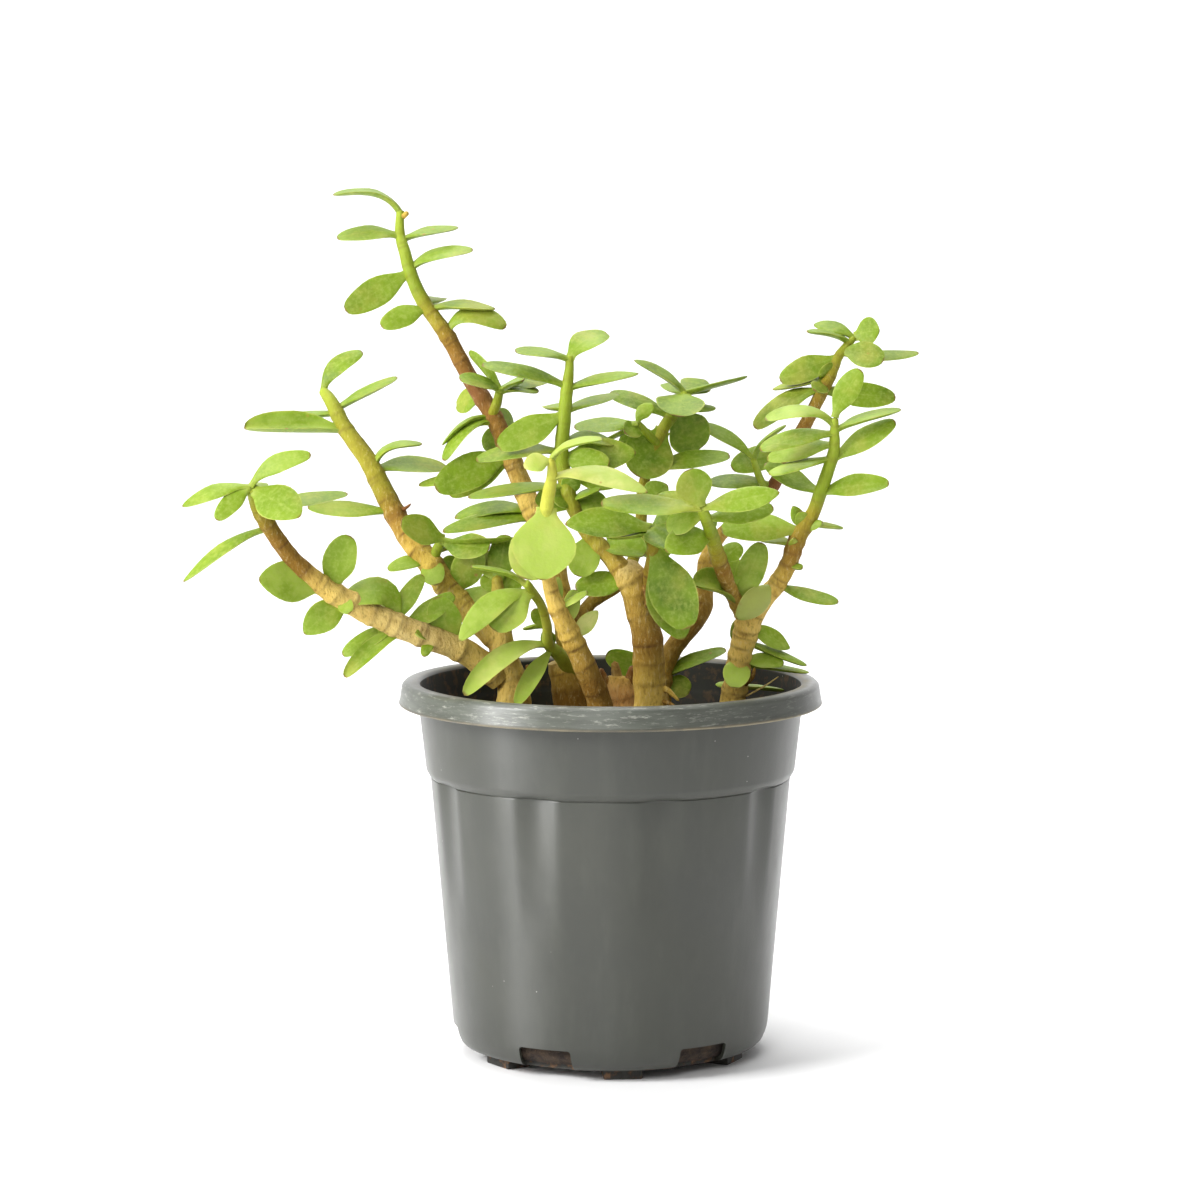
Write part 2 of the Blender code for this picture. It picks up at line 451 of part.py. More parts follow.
def make_pot():
    finish = material("dark_grey_plastic", (0.075, 0.08, 0.075), 0.42)
    pot = object_from("pot", turned(pot_profile()), finish)
    feet = []
    for index in range(NOTCH_COUNT):
        angle = FOOT_FIRST_ANGLE + 2 * pi * index / NOTCH_COUNT
        height = FLOOR_UNDERSIDE + 1
        place = (FOOT_OUTER_RADIUS - FOOT_LENGTH / 2, 0, height / 2)
        foot = block((FOOT_LENGTH, FOOT_WIDTH, height), place, angle, 0.8)
        feet.append(object_from("foot", foot))
    centre = bmesh.new()
    bmesh.ops.create_cone(centre, cap_ends=True, cap_tris=False, segments=24,
                          radius1=CENTRE_FOOT_RADIUS, radius2=CENTRE_FOOT_RADIUS,
                          depth=FLOOR_UNDERSIDE + 1)
    bmesh.ops.translate(centre, vec=(0, 0, (FLOOR_UNDERSIDE + 1) / 2), verts=centre.verts)
    feet.append(object_from("foot", centre))
    combine(pot, feet, "UNION")
    notches = []
    for index in range(NOTCH_COUNT):
        angle = NOTCH_FIRST_ANGLE + 2 * pi * index / NOTCH_COUNT
        reach = WALL_FOOT[0] + 5 - NOTCH_INNER_RADIUS
        place = (NOTCH_INNER_RADIUS + reach / 2, 0, NOTCH_TOP / 2 - 2)
        notch = block((reach, NOTCH_WIDTH, NOTCH_TOP + 4), place, angle, 2.0)
        notches.append(object_from("notch", notch))
    combine(pot, notches, "DIFFERENCE")
    pot.data.shade_smooth()
    pot.data.set_sharp_from_angle(angle=radians(28))
    return pot


def soil_height(x, y):
    """Top of the soil: a low mound round the stems with small uneven clods."""
    away = hypot(x - SOIL_MOUND_CENTRE[0], y - SOIL_MOUND_CENTRE[1])
    mound = SOIL_MOUND_HEIGHT * exp(-(away / SOIL_MOUND_SPREAD) ** 2)
    clods = noise.noise(Vector((x, y, 7.0)) / SOIL_GRAIN)
    return SOIL_EDGE_HEIGHT + mound + SOIL_ROUGHNESS * clods


def make_soil():
    finish = material("potting_soil", (0.06, 0.04, 0.028), 0.95)
    floor = FLOOR_UNDERSIDE + FLOOR_THICKNESS + CLEARANCE
    heights = (9, FLUTE_START, WALL_TOP[1], COLLAR_FOOT[1], SOIL_EDGE_HEIGHT)
    wall = [(inner_radius(height) - SOIL_SHRINKAGE, height) for height in heights]
    top = [(radius, SOIL_EDGE_HEIGHT) for radius in reversed(SOIL_RINGS)]
    shape = turned([(0, floor), (55, floor)] + wall + top + [(0, SOIL_EDGE_HEIGHT)])
    for vertex in shape.verts:
        if vertex.co.z > SOIL_EDGE_HEIGHT - 0.1:
            if hypot(vertex.co.x, vertex.co.y) < inner_radius(SOIL_EDGE_HEIGHT) - 2:
                vertex.co.z = soil_height(vertex.co.x, vertex.co.y)
    soil = object_from("soil", shape, finish)
    holes = []
    for plant in PLANTS.values():
        for branch in plant.values():
            if branch["route"][0][2] < SOIL_EDGE_HEIGHT:
                hole = tube(branch["route"][:3], STEM_SIDES, STEM_HOLE_CLEARANCE)
                holes.append(object_from("hole", hole))
    combine(soil, holes, "DIFFERENCE")
    return soil


# Stems and leaves

def along(route, place):
    """Point and radius on the smooth curve through a route's points."""
    last = len(route) - 1
    index = min(int(place), last - 1)
    share = place - index
    picks = [route[max(0, min(last, index + step))] for step in (-1, 0, 1, 2)]
    before, start, end, after = [Vector(pick[:3]) for pick in picks]
    point = 0.5 * (2 * start + (end - before) * share
                   + (2 * before - 5 * start + 4 * end - after) * share ** 2
                   + (3 * start - before - 3 * end + after) * share ** 3)
    radius = picks[1][3] + (picks[2][3] - picks[1][3]) * share
    return point, radius


def loft(rings, sides, start_pole, end_pole):
    """Reshape a sphere of the right mesh into a closed skin over the rings.

    A ring is (centre, side, face, half_width, half_height).
    """
    shape = bmesh.new()
    steps = len(rings) + 1
    bmesh.ops.create_uvsphere(shape, u_segments=sides, v_segments=steps, radius=1)
    for vertex in shape.verts:
        step = round(acos(max(-1.0, min(1.0, -vertex.co.z))) / pi * steps)
        if step == 0:
            vertex.co = start_pole
        elif step == steps:
            vertex.co = end_pole
        else:
            centre, side, face, half_width, half_height = rings[step - 1]
            angle = atan2(vertex.co.y, vertex.co.x)
            vertex.co = centre + side * half_width * cos(angle) \
                + face * half_height * sin(angle)
    shape.normal_update()
    bmesh.ops.recalc_face_normals(shape, faces=shape.faces)
    return shape


def tube(route, sides, extra=0.0):
    """A round stem along a route, fatter and longer by extra."""
    spans = len(route) - 1
    places = [step / ROUTE_STEPS for step in range(spans * ROUTE_STEPS + 1)]
    points = [along(route, place) for place in places]
    rings = []
    for index, (centre, radius) in enumerate(points):
        ahead = points[min(index + 1, len(points) - 1)][0]
        behind = points[max(index - 1, 0)][0]
        forward = (ahead - behind).normalized()
        side = forward.cross(Vector((0, 1, 0))).normalized()
        face = side.cross(forward)
        rings.append((centre, side, face, radius + extra, radius + extra))
    first = points[0][0] - (points[1][0] - points[0][0]).normalized() \
        * (TIP_ROUNDING * points[0][1] + extra)
    last = points[-1][0] + (points[-1][0] - points[-2][0]).normalized() \
        * (TIP_ROUNDING * points[-1][1] + extra)
    return loft(rings, sides, first, last)


def blade_share(place):
    """Width of an obovate blade at a place from 0, its foot, to 1, its tip."""
    blade = sin(pi * place ** 1.5) ** 0.8
    petiole = PETIOLE_SHARE * (1 - place)
    return max(blade, petiole)


def leaf(route, place, right, back, up, width, lean, arch):
    """One fleshy leaf from the stem's axis to its tip."""
    foot = along(route, place)[0]
    reach = Vector((right, back, up))
    line = reach.normalized()
    rise = UP - line * UP.dot(line)
    looks = Vector((0, -sin(radians(lean)), cos(radians(lean))))
    if rise.length < 0.3:
        rise = looks - line * looks.dot(line)
    bend = foot + reach * 0.32 + rise.normalized() * 2 * arch
    tip = foot + reach
    rings = []
    for share in LEAF_RINGS if reach.length > SMALL_LEAF else SMALL_LEAF_RINGS:
        centre = foot * (1 - share) ** 2 + bend * 2 * share * (1 - share) + tip * share ** 2
        forward = ((bend - foot) * (1 - share) + (tip - bend) * share).normalized()
        face = (looks - forward * looks.dot(forward)).normalized()
        side = forward.cross(face)
        half_width = width / 2 * blade_share(share)
        half_height = LEAF_THICKNESS / 2 * (1 - 0.35 * share)
        rings.append((centre, side, face, half_width, half_height))
    return loft(rings, LEAF_SIDES, foot, tip)


def make_plant(name, plant, finish):
    """Fuse a cutting's branches and leaves into one solid."""
    shapes = []
    for branch in plant.values():
        route = branch["route"]
        thick = max(point[3] for point in route) > TWIG_RADIUS
        sides = STEM_SIDES if thick else TWIG_SIDES
        shapes.append(object_from(name, tube(route, sides), finish))
        for row in branch["leaves"]:
            shapes.append(object_from("leaf", leaf(route, *row), finish))
    trunk, others = shapes[0], shapes[1:]
    if others:
        combine(trunk, others, "UNION", "MANIFOLD")
    trunk.name = name
    trunk.data.shade_smooth()
    trunk.data.set_sharp_from_angle(angle=radians(40))
    return trunk


def main():
    clear_scene()
    make_pot()
    make_soil()
    leaf_green = material("jade_leaf_and_bark", (0.24, 0.4, 0.07), 0.38)
    dead_bark = material("dry_bark", (0.3, 0.19, 0.1), 0.8)
    for name, plant in PLANTS.items():
        finish = dead_bark if plant is DIED_BACK_STUB else leaf_green
        make_plant(name, plant, finish)


main()
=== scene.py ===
"""Potted jade plant: the look of every surface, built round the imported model.

The pot, soil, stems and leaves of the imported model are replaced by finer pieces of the
same form. Lengths in the tables are millimetres, turned into metres by MM.
"""

import random
from math import atan2, cos, exp, hypot, pi, radians, sin, tan

import bmesh
import bpy
from mathutils import Matrix, Vector, noise


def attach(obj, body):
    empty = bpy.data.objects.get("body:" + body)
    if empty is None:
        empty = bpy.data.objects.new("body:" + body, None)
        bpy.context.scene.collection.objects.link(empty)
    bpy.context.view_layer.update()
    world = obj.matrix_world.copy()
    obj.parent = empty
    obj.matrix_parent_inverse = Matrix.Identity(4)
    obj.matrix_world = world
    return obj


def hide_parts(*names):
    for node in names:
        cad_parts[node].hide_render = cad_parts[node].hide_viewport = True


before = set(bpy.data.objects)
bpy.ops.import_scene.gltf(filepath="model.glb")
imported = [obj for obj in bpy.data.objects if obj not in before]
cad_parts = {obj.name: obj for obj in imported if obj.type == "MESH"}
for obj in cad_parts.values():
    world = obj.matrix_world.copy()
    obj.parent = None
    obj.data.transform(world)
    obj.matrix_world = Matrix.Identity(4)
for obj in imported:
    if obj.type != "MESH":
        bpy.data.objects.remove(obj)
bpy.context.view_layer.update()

MM = 0.001
BODY = "root"

# Every branch is a named row: the branch that it grows from, its route as points of
# (right, back, up, radius), and its leaves. A leaf is (place, right, back, up, width,
# lean, arch). The place counts the route's points from 0, so 2.5 is halfway between the
# third and the fourth. Right, back and up lead from the stem's axis to the leaf's tip.
# Lean turns the blade's upper side from the sky, 0, to the front, 90 degrees. Arch is
# how far the middle of the leaf rises above the straight line to its tip.
LEFT_STEM = {
    "trunk": {
        "route": [(-36.5, -8, 119, 6.5), (-36.5, -8, 135, 6.5), (-37.5, -7, 143.5, 5.7),
                  (-41, -7, 156, 4.8), (-41.5, -7, 169.5, 3.4), (-42.5, -6, 178, 2.3),
                  (-43, -6, 183.5, 1.5)],
        "leaves": [(5.3, 3, 8, 18, 11, 70, 0), (5.5, -5, 12, 10, 11, 60, 0),
                   (4.8, -5, 4, 7, 9, 50, 0), (4.8, 6, 6, 7, 12, 60, 0)],
    },
    "cut_twig": {
        "route": [(-36.5, -8, 140.5, 3.4), (-33.5, -7, 146.5, 2.5)],
        "leaves": [],
    },
    "upper_branch": {
        "route": [(-41, -7, 157, 4.6), (-57.5, -1, 173, 4.6), (-67.5, 4, 185.5, 4.6),
                  (-78, 10, 198, 4.2), (-86, 16, 212, 3.9), (-93, 21, 225, 3.5),
                  (-101.5, 27, 236, 3.1), (-107.5, 32, 246.5, 2.6), (-111, 38, 250.5, 1.7)],
        "leaves": [(7.9, 15, 4, 15, 9, 40, 3), (6.7, 24, 4, 12, 9, 15, 0.5),
                   (6.0, -39, -4, 1, 10.5, 35, 0.5), (6.6, -25, 10, -3, 10, 15, 0),
                   (4.7, 19, -3, 10, 8.5, 15, 5), (4.7, 28, 10, 0, 12, 30, 1.5),
                   (3.6, -32.5, -3, 1.5, 10.5, 30, -0.5), (2.1, -16, -3, -2, 8, 35, 1.5),
                   (2.2, 4, -13, -8, 9.5, 85, 0.5), (1.5, 3, 6, 10, 8.5, 80, 0),
                   (1.2, 11, -4, 19, 12.5, 80, 0), (1.2, 25, -9, -7, 14.5, 72, 0)],
    },
    "upper_shoot": {
        "route": [(-67.5, 4, 187, 1.9), (-65.5, 2, 193, 1.9), (-63, 0, 196.5, 1.5)],
        "leaves": [(1.7, 18, -8, -2, 13, 45, -1), (2.0, -16, -8, 7, 12, 60, 0),
                   (2.0, 27, -5, 1, 10, -10, -1), (0.8, 6, 5, 1, 5, 0, 0.5)],
    },
    "lower_branch": {
        "route": [(-41, -8, 143.5, 4.9), (-53, -12, 154, 4.9), (-62.5, -16, 159, 4.7),
                  (-80.5, -21, 166.5, 4.5), (-97, -25, 175, 4.3), (-108, -29, 182.5, 3.7),
                  (-118.5, -33, 193, 3.1), (-126.5, -38, 205.5, 2.9), (-130, -42, 213, 2.7),
                  (-132, -46, 220, 1.8)],
        "leaves": [(9.0, 22.5, -3, 12, 8, 55, 3), (9.0, -25, -2, -7, 8.5, 35, 2),
                   (8.9, -12, -8, -11, 7.5, 60, 1), (8.9, 3, 12, 1, 8, 20, 0),
                   (8.8, 19, -16, -8.5, 15.5, 62, 0.5), (7.7, 32, 8, 5.5, 10.5, 24, 1),
                   (6.9, -32, -2, -20, 8, 25, 2.5), (4.8, -24, -12, 4.5, 16, 70, 1),
                   (4.6, 7.5, -5, 21.5, 12.5, 85, 1.2), (4.6, 3.5, 4, 10, 6, 60, 0),
                   (5.0, -7, 4, -4, 5, 20, 0), (4.0, -17, -6, -11, 12, 75, 1.5),
                   (3.0, -18.5, -6, 9.3, 13.5, 44, 9), (4.3, 4, -7, -5, 6, 85, 0),
                   (3.0, -11, 8, 8, 9, 40, 1), (3.3, 3, 4, -9, 6.5, 60, 0),
                   (2.7, -24.5, -6, -17, 7, 55, 2.5), (2.9, -22, 2, -11, 9, 40, 1),
                   (2.9, 8, 7, -8, 8, 10, 0), (2.3, -5.5, -8, 3, 4.5, 60, 0),
                   (2.3, -2.5, -8.5, -6, 4.5, 60, 0), (2.9, 20, 6, 11.5, 8.5, 60, -1),
                   (3.0, 10, 6, 18, 7.5, 65, 1), (2.7, 10, 9, 7, 8, 30, 0),
                   (1.7, -6, -4, 19, 13, 80, 0), (1.6, -2, 7, 9, 9, 60, 0)],
    },
}
TALL_STEM = {
    "cut_trunk": {
        "route": [(-14, 6, 116.5, 7.2), (-14.5, 6, 132, 7.2), (-16, 7, 142, 6.8),
                  (-18.5, 7, 150.5, 5.8)],
        "leaves": [],
    },
    "leader": {
        "route": [(-15.5, 8, 134, 4.6), (-16, 8, 149.5, 4.2), (-17.5, 9, 163, 4.0),
                  (-19.5, 10, 176, 4.2), (-23, 11, 191.5, 4.4), (-27, 13, 201, 4.6),
                  (-31, 15, 209, 4.2), (-37, 17, 223.5, 3.6), (-44.3, 19, 241, 3.4),
                  (-53, 22, 255, 3.2), (-62, 24, 271.5, 3.0), (-71.5, 27, 285, 2.7),
                  (-76.5, 31, 295.5, 2.5), (-79, 34, 304, 2.3), (-81, 38, 311, 1.9),
                  (-81, 42, 320, 1.5)],
        "leaves": [(14.9, -26, 0, 6.3, 11, 5, 4.5), (13.9, -24, -5, -1, 12, 28, 1.5),
                   (13.7, 22, 5, 4.5, 9.5, 14, 1), (12.2, 24.5, 2, 7.5, 10.5, 24, 2.6),
                   (12.1, -24.5, -8, -14.5, 11.5, 80, 0), (10.8, -17.5, -8, -6.5, 9.5, 62, 0.8),
                   (10.8, 26, -2, 0, 10, 18, 1.5), (10.9, 6, 16, 2, 9, 10, 1),
                   (10.1, 23, -3, 2.5, 10.5, 40, 6.5), (8.6, -10, 14, -4, 10, 70, 0),
                   (8.0, -20, -4, -10, 8, 0, 4), (7.9, -20, -8, -14, 9, 10, 5),
                   (7.2, -28, -12, -12, 14, 75, 1), (7.1, -24, -4, -13, 11, 70, 1),
                   (7.1, -36, 5, -10, 7, 30, -1), (8.0, 7, 12, -2, 10, 75, 0),
                   (7.7, -7, 6, -6, 9, 60, 0), (5.3, -36, -2, -5, 11, 30, 1.5),
                   (5.5, -31, 8, -2, 11, 25, 3)],
    },
    "leader_shoot": {
        "route": [(-45.5, 18, 242.5, 1.9), (-43.5, 15, 246.5, 1.9), (-42, 12, 252.5, 1.5)],
        "leaves": [(1.8, 15, -2, 0, 9, 15, 1.5), (2.0, -15, -9, 4.3, 10, 35, 1),
                   (2.0, 9, -8, 4, 10, 25, 0.5), (2.0, 20, 4, 3.5, 10, 28, 1),
                   (2.0, -12, 6, 14, 9, -30, 1)],
    },
    "rear_branch": {
        "route": [(-17, 9, 156.5, 2.7), (-8, 14, 170, 2.5), (2, 18, 176.5, 2.5),
                  (8, 23, 184.5, 2.3), (11.5, 27, 197.5, 2.3), (12.5, 32, 213, 2.1),
                  (16, 36, 224, 2.1), (20, 41, 234.5, 2.3), (24, 45, 240.5, 2.4),
                  (29.5, 50, 249.5, 1.5)],
        "leaves": [(8.9, -20, -2, 13, 9.5, 20, 1.5), (9.0, 24, 0, 6, 9, -6, 0),
                   (8.9, 8, 12, 4.5, 13, 40, 0), (8.9, -8, 12, 3, 9, 20, 0),
                   (8.8, -3, -20, -7, 19, 35, 1), (8.1, 11, 5, -14, 17.5, 85, 0),
                   (8.2, 16, 2, 1, 9, 15, 0.5), (7.9, -24, 4, 9, 10, 32, 1),
                   (7.1, -10.5, -13, -17, 20, 85, 0), (5.6, 32, 4, 5.5, 12, 30, 1),
                   (6.8, -16, -4, -2, 11, 60, 0.5), (4.6, 10, -5, 8, 11, 80, 0),
                   (3.6, -12, 4, 3, 10, 50, 0.5), (3.4, 14, 4, 2, 11, 60, 0)],
    },
    "rear_shoot": {
        "route": [(18.5, 38, 229.5, 1.7), (14, 34, 234.5, 1.5), (10.5, 29, 238.5, 1.3)],
        "leaves": [(1.9, 6, 0, 7, 6, 60, 1.5), (2.0, -13, 4, -7, 6, 0, 0),
                   (1.6, -6, -7, -2, 8, 70, 0), (2.0, -24.5, -2, -1.5, 10, 33, 0)],
    },
    "trunk_shoot": {
        "route": [(-14.5, 5, 144, 3.0), (-19, -1, 152, 2.7), (-23.5, -7, 157.5, 2.1),
                  (-24, -14, 165.5, 1.8), (-26, -20, 173.5, 1.7), (-29, -26, 179, 1.7),
                  (-31.5, -32, 183.5, 1.5)],
        "leaves": [(1.9, -31.5, -20, -16.5, 9, 50, 5), (1.6, -13.5, -19, -19, 7, 60, 1),
                   (4.9, -27.5, -8, -17, 10, 60, 5), (5.1, -14.5, -3, -14, 14, 76, 1),
                   (5.7, -21, -2, 7, 8, 0, 2), (3.0, -9, 5, -2, 6, 0, 0.5),
                   (2.8, -5, -5, 8, 6, 90, 0), (1.6, -3, -4, 8, 6, 90, 0)],
    },
}
FRONT_STEM = {
    "trunk": {
        "route": [(-4, -26, 121.5, 4.5), (-4, -28, 137, 4.5), (-7.5, -31, 147, 4.4),
                  (-11.5, -33, 156.5, 4.2), (-15.5, -35, 165, 3.9), (-20, -38, 175, 3.3),
                  (-22.5, -40, 183.5, 2.7), (-24, -43, 198.5, 2.5), (-23.5, -45, 212.5, 2.5),
                  (-22.5, -47, 219, 2.4), (-21.5, -50, 225, 1.9), (-22, -52, 231.5, 1.1)],
        "leaves": [(10.9, 19, 2, 7, 8, 10, 2.5), (10.7, -10, -3, -2, 8, 60, 0.5),
                   (9.8, 35, -6, -5, 11, 35, 3.5), (8.0, -2, -9, -26, 24, 90, 0),
                   (7.7, -8, -3, -22.5, 19, 85, 0), (4.9, 11, -3, 7, 4, 40, 0),
                   (4.9, 0, 2, 12, 4, 90, 0), (3.7, 9.5, 3, 10.5, 6.5, 70, 0),
                   (4.2, 3, 3, 14, 6.5, 85, 0)],
    },
}
DIED_BACK_STUB = {
    "stub": {
        "route": [(4, 10, 116.5, 6.3), (3.5, 10, 132, 6.3), (3.5, 9, 138.5, 5.9),
                  (4, 9, 143.5, 4.2)],
        "leaves": [],
    },
    "tall_knob": {"route": [(3, 9, 139.5, 2.7), (1.5, 8, 149, 1.1)], "leaves": []},
    "left_knob": {"route": [(-1, 8, 139.5, 1.9), (-4, 7, 146.5, 0.8)], "leaves": []},
    "right_knob": {"route": [(6.5, 8, 139.5, 2.3), (8.5, 7, 147.5, 0.9)], "leaves": []},
}
MIDDLE_STEM = {
    "trunk": {
        "route": [(15.5, -10, 119, 6.4), (15.5, -11, 134.5, 6.4), (14.5, -11, 144, 5.9),
                  (14, -12, 159.5, 5.8), (11, -12, 170, 5.1), (9, -13, 179, 5.3),
                  (6.5, -13, 185.5, 5.7), (6, -14, 189, 3.8)],
        "leaves": [(5.5, -21, -2, -3, 10.5, 60, 0)],
    },
    "left_branch": {
        "route": [(6, -13, 183.5, 4.2), (-0.5, -12, 191.5, 3.4), (-8, -11, 199, 2.8),
                  (-14, -10, 209.5, 2.7), (-17, -9, 219.5, 2.7), (-18.5, -8, 229, 2.7),
                  (-17.5, -7, 242, 2.5), (-16.5, -6, 253, 2.3), (-15.5, -5, 261.5, 1.7),
                  (-15.5, -4, 266.5, 1.3)],
        "leaves": [(8.6, -20.5, -3, 3, 11, 14, 1), (8.5, 14.5, 8, 9.3, 12, 34, 2.6),
                   (7.2, -32, -4, 8, 9.5, 30, 1), (7.1, 27, 2, 5.5, 8, 26, 0.8),
                   (6.3, 20, 14, 5.5, 9, 12, 0.5), (6.4, -7, 13, 0, 9, 20, 0),
                   (6.2, -25, -6, -12, 12, 65, 0), (5.1, -32, -3, -3, 12, 25, 2),
                   (3.8, -37, -5, -4, 12.5, 15, 1), (5.3, 20, 4, 0, 12, 20, 2.5),
                   (4.9, 28, 2, 2, 13, 70, 0), (4.9, 18, -4, -2, 10.5, 70, 0),
                   (3.2, 11, -3, 5, 8, 20, 1), (3.1, -7, -4, 2, 6, 50, 0),
                   (3.4, 1, -3, 9, 7.5, 80, 0), (2.0, -4, -6, -15, 12.5, 90, 0),
                   (1.4, 16.5, -7, -2, 12, 50, 1), (4.3, 22, 3, -4, 12, 55, 0.5),
                   (2.6, 16, 6, -1, 11, 60, 0.5), (3.1, 13, 2, 1, 11, 55, 0),
                   (3.0, -14, 5, 4, 11, 55, 0)],
    },
    "right_branch": {
        "route": [(13.5, -12, 172, 3.0), (14.5, -16, 182.5, 2.8), (16, -21, 193.5, 2.5),
                  (15, -26, 203, 1.7)],
        "leaves": [(3.0, -32, -4, 2, 13.5, 55, 1), (3.0, 7, -10, -7, 13, 60, 0),
                   (2.2, 13, -9, -29.5, 17.5, 90, 0), (2.0, 11, -3, -32.5, 17, 90, 0),
                   (2.8, -16, -2, -2, 8, 10, 0), (2.6, 11, 3, 3, 10, 50, 0),
                   (3.0, 9.5, -2, 4.5, 9, 60, 0)],
    },
}
BACK_STEM = {
    "trunk": {
        "route": [(19.5, 34, 113, 3.8), (20, 37, 130.5, 3.9), (21, 39, 142.5, 3.9),
                  (25.5, 42, 151, 3.8), (32, 44, 158.5, 3.6), (36.5, 47, 165, 3.4),
                  (37, 50, 173, 3.4), (37.5, 52, 182, 3.2), (41.5, 55, 190.5, 2.8),
                  (47.5, 57, 196.5, 2.4), (58.5, 60, 204, 2.4), (64.5, 62, 212, 2.4),
                  (69.5, 65, 222.5, 2.6), (76, 68, 233.5, 2.6), (82.5, 70, 246, 2.5),
                  (87, 73, 254.5, 2.3), (91, 75, 263, 1.8), (97, 78, 269.5, 1.2)],
        "leaves": [(17.0, 9.5, -4, 2.5, 13.5, 60, 0.5), (16.9, -16, 2, 5, 9, 30, 1.5),
                   (16.6, -17.5, -6, 4.5, 7.5, 8, 1.5), (16.1, 16, -9, -3.2, 11, 70, 1),
                   (16.1, 31, 5, -0.7, 8, 28, -1.5), (15.8, -23, -4, -9, 11, 60, 0.5),
                   (14.8, -22, 2, -4, 9, 20, 1), (15.6, -7, -3, -6, 7, -40, 0),
                   (14.6, -5, -8, -2, 8, 60, 0), (14.3, 29, 3, -3, 12, 55, -0.5),
                   (14.3, -27, -3, -15, 11.5, 35, 3), (12.2, 10, -4, 5, 8.5, 60, 0),
                   (12.2, -23, -8, -6, 12, 55, 1), (11.0, -26, -4, 1, 10, 30, 1),
                   (10.3, -17, -4, -6, 9, -50, 0), (1.6, 25, 2, 11, 9, 25, 1.5),
                   (1.5, 11, -3, -3, 10, 60, 0), (1.5, -22, -2, 11, 11, 60, 0)],
    },
    "shoot": {
        "route": [(62.5, 62, 207.5, 1.7), (58.5, 56, 215.5, 1.5), (55.5, 50, 224, 1.2)],
        "leaves": [(1.9, -21, 4, 13, 9, 25, 1.5), (1.9, 13, 0, 13, 6, 0, 2)],
    },
}
RIGHT_STEM = {
    "trunk": {
        "route": [(46.5, 2, 117.5, 4.9), (46.5, 1, 134, 4.9), (48, -1, 143, 4.5),
                  (49, -2, 152, 4.4), (51, -3, 160, 4.5), (53, -5, 167.5, 4.7),
                  (58, -6, 174.5, 3.8), (63, -7, 180.5, 3.4), (67, -9, 188, 3.1),
                  (70, -10, 197, 3.3), (76, -11, 207.5, 2.6), (78.5, -13, 215, 2.5),
                  (81.5, -14, 224, 2.4), (83.5, -15, 231.5, 2.2), (83.5, -17, 238.5, 1.7),
                  (83.5, -18, 244, 1.2)],
        "leaves": [(14.9, 9.5, -2, 18, 9.5, 60, 1), (14.4, -26, -4, 2, 10.5, 25, 4.5),
                   (14.1, 25, 2, 7.5, 9, 14, 1), (13.9, -28, -4, -6, 10, 38, 1),
                   (13.3, -25, 6, -6, 10, 45, 0.5), (12.4, 24, 0, 15, 10, 45, 0.5),
                   (12.6, -24, -4, -6, 9, 20, 0.5), (11.1, -21, 4, 10, 11, 35, -1),
                   (11.0, 25.5, -6, 4, 10, 52, 0.8), (9.4, -4, -2, 9, 5.5, 60, 0),
                   (9.4, -1, -3, 7, 5.5, 70, 0), (9.6, 14, 3, -2, 5.5, 15, 0.5),
                   (9.4, 7, -4, 3, 4, 60, 0), (9.3, -30.5, -5, 1.3, 13, 53, 1.5),
                   (8.8, -13, 3, 2, 7, 20, 1), (8.6, 0, -5, 5, 4, 80, 0),
                   (8.0, 5, -5, -1, 3.5, 40, 0), (7.0, 23, -2, -7, 7.5, 40, -1.2),
                   (7.0, -16, -8, -12.5, 10.5, -80, 0), (4.5, 16.5, 5, -9, 9.5, 45, 0),
                   (3.8, 24, 2, -10, 6, 20, 0), (2.7, 17, -3, 0, 7, 45, 1.5),
                   (2.7, 27, 4, -4, 7, 10, 0.5), (2.9, -2, -9, -10, 10.5, 88, 1),
                   (1.6, 19, 8, -2, 7, 0, 1), (1.7, -7, 7, 0, 5, 30, 0)],
    },
    "front_branch": {
        "route": [(50, -4, 168, 3.0), (45, -13, 178.5, 2.6), (41.5, -22, 188, 3.0),
                  (39, -30, 195.5, 2.8), (36.5, -39, 204, 2.4), (33, -48, 213, 1.9)],
        "leaves": [(4.9, -37, -4, 2, 11.5, 38, 0), (4.9, 28.5, -3, 6, 10.5, 52, 0),
                   (4.4, 25, 5, 4, 10, 50, 0), (4.6, -14, 8, -5, 11, 60, 0),
                   (5.0, -5, -5, 14, 13.5, 85, 0), (5.0, -16, 5, 4, 8, 50, 0),
                   (4.3, 3, 7, -3, 6, 80, 0), (3.6, -17.5, -11, -4, 13.5, 60, 1.5),
                   (0.3, -18, -20, 11.5, 13, 50, 4), (0.5, 9, -6, 24, 11, 88, 0),
                   (0.9, -1, 5, 15, 9, 80, 0), (2.3, 8, 5, 6, 8, 60, 0),
                   (0.1, -3, 6, -11, 5, 60, 0)],
    },
}
PLANTS = {
    "left_leafy_stem": LEFT_STEM,
    "tall_leafy_stem": TALL_STEM,
    "front_leafy_stem": FRONT_STEM,
    "died_back_stub": DIED_BACK_STUB,
    "middle_leafy_stem": MIDDLE_STEM,
    "back_leafy_stem": BACK_STEM,
    "right_leafy_stem": RIGHT_STEM,
}

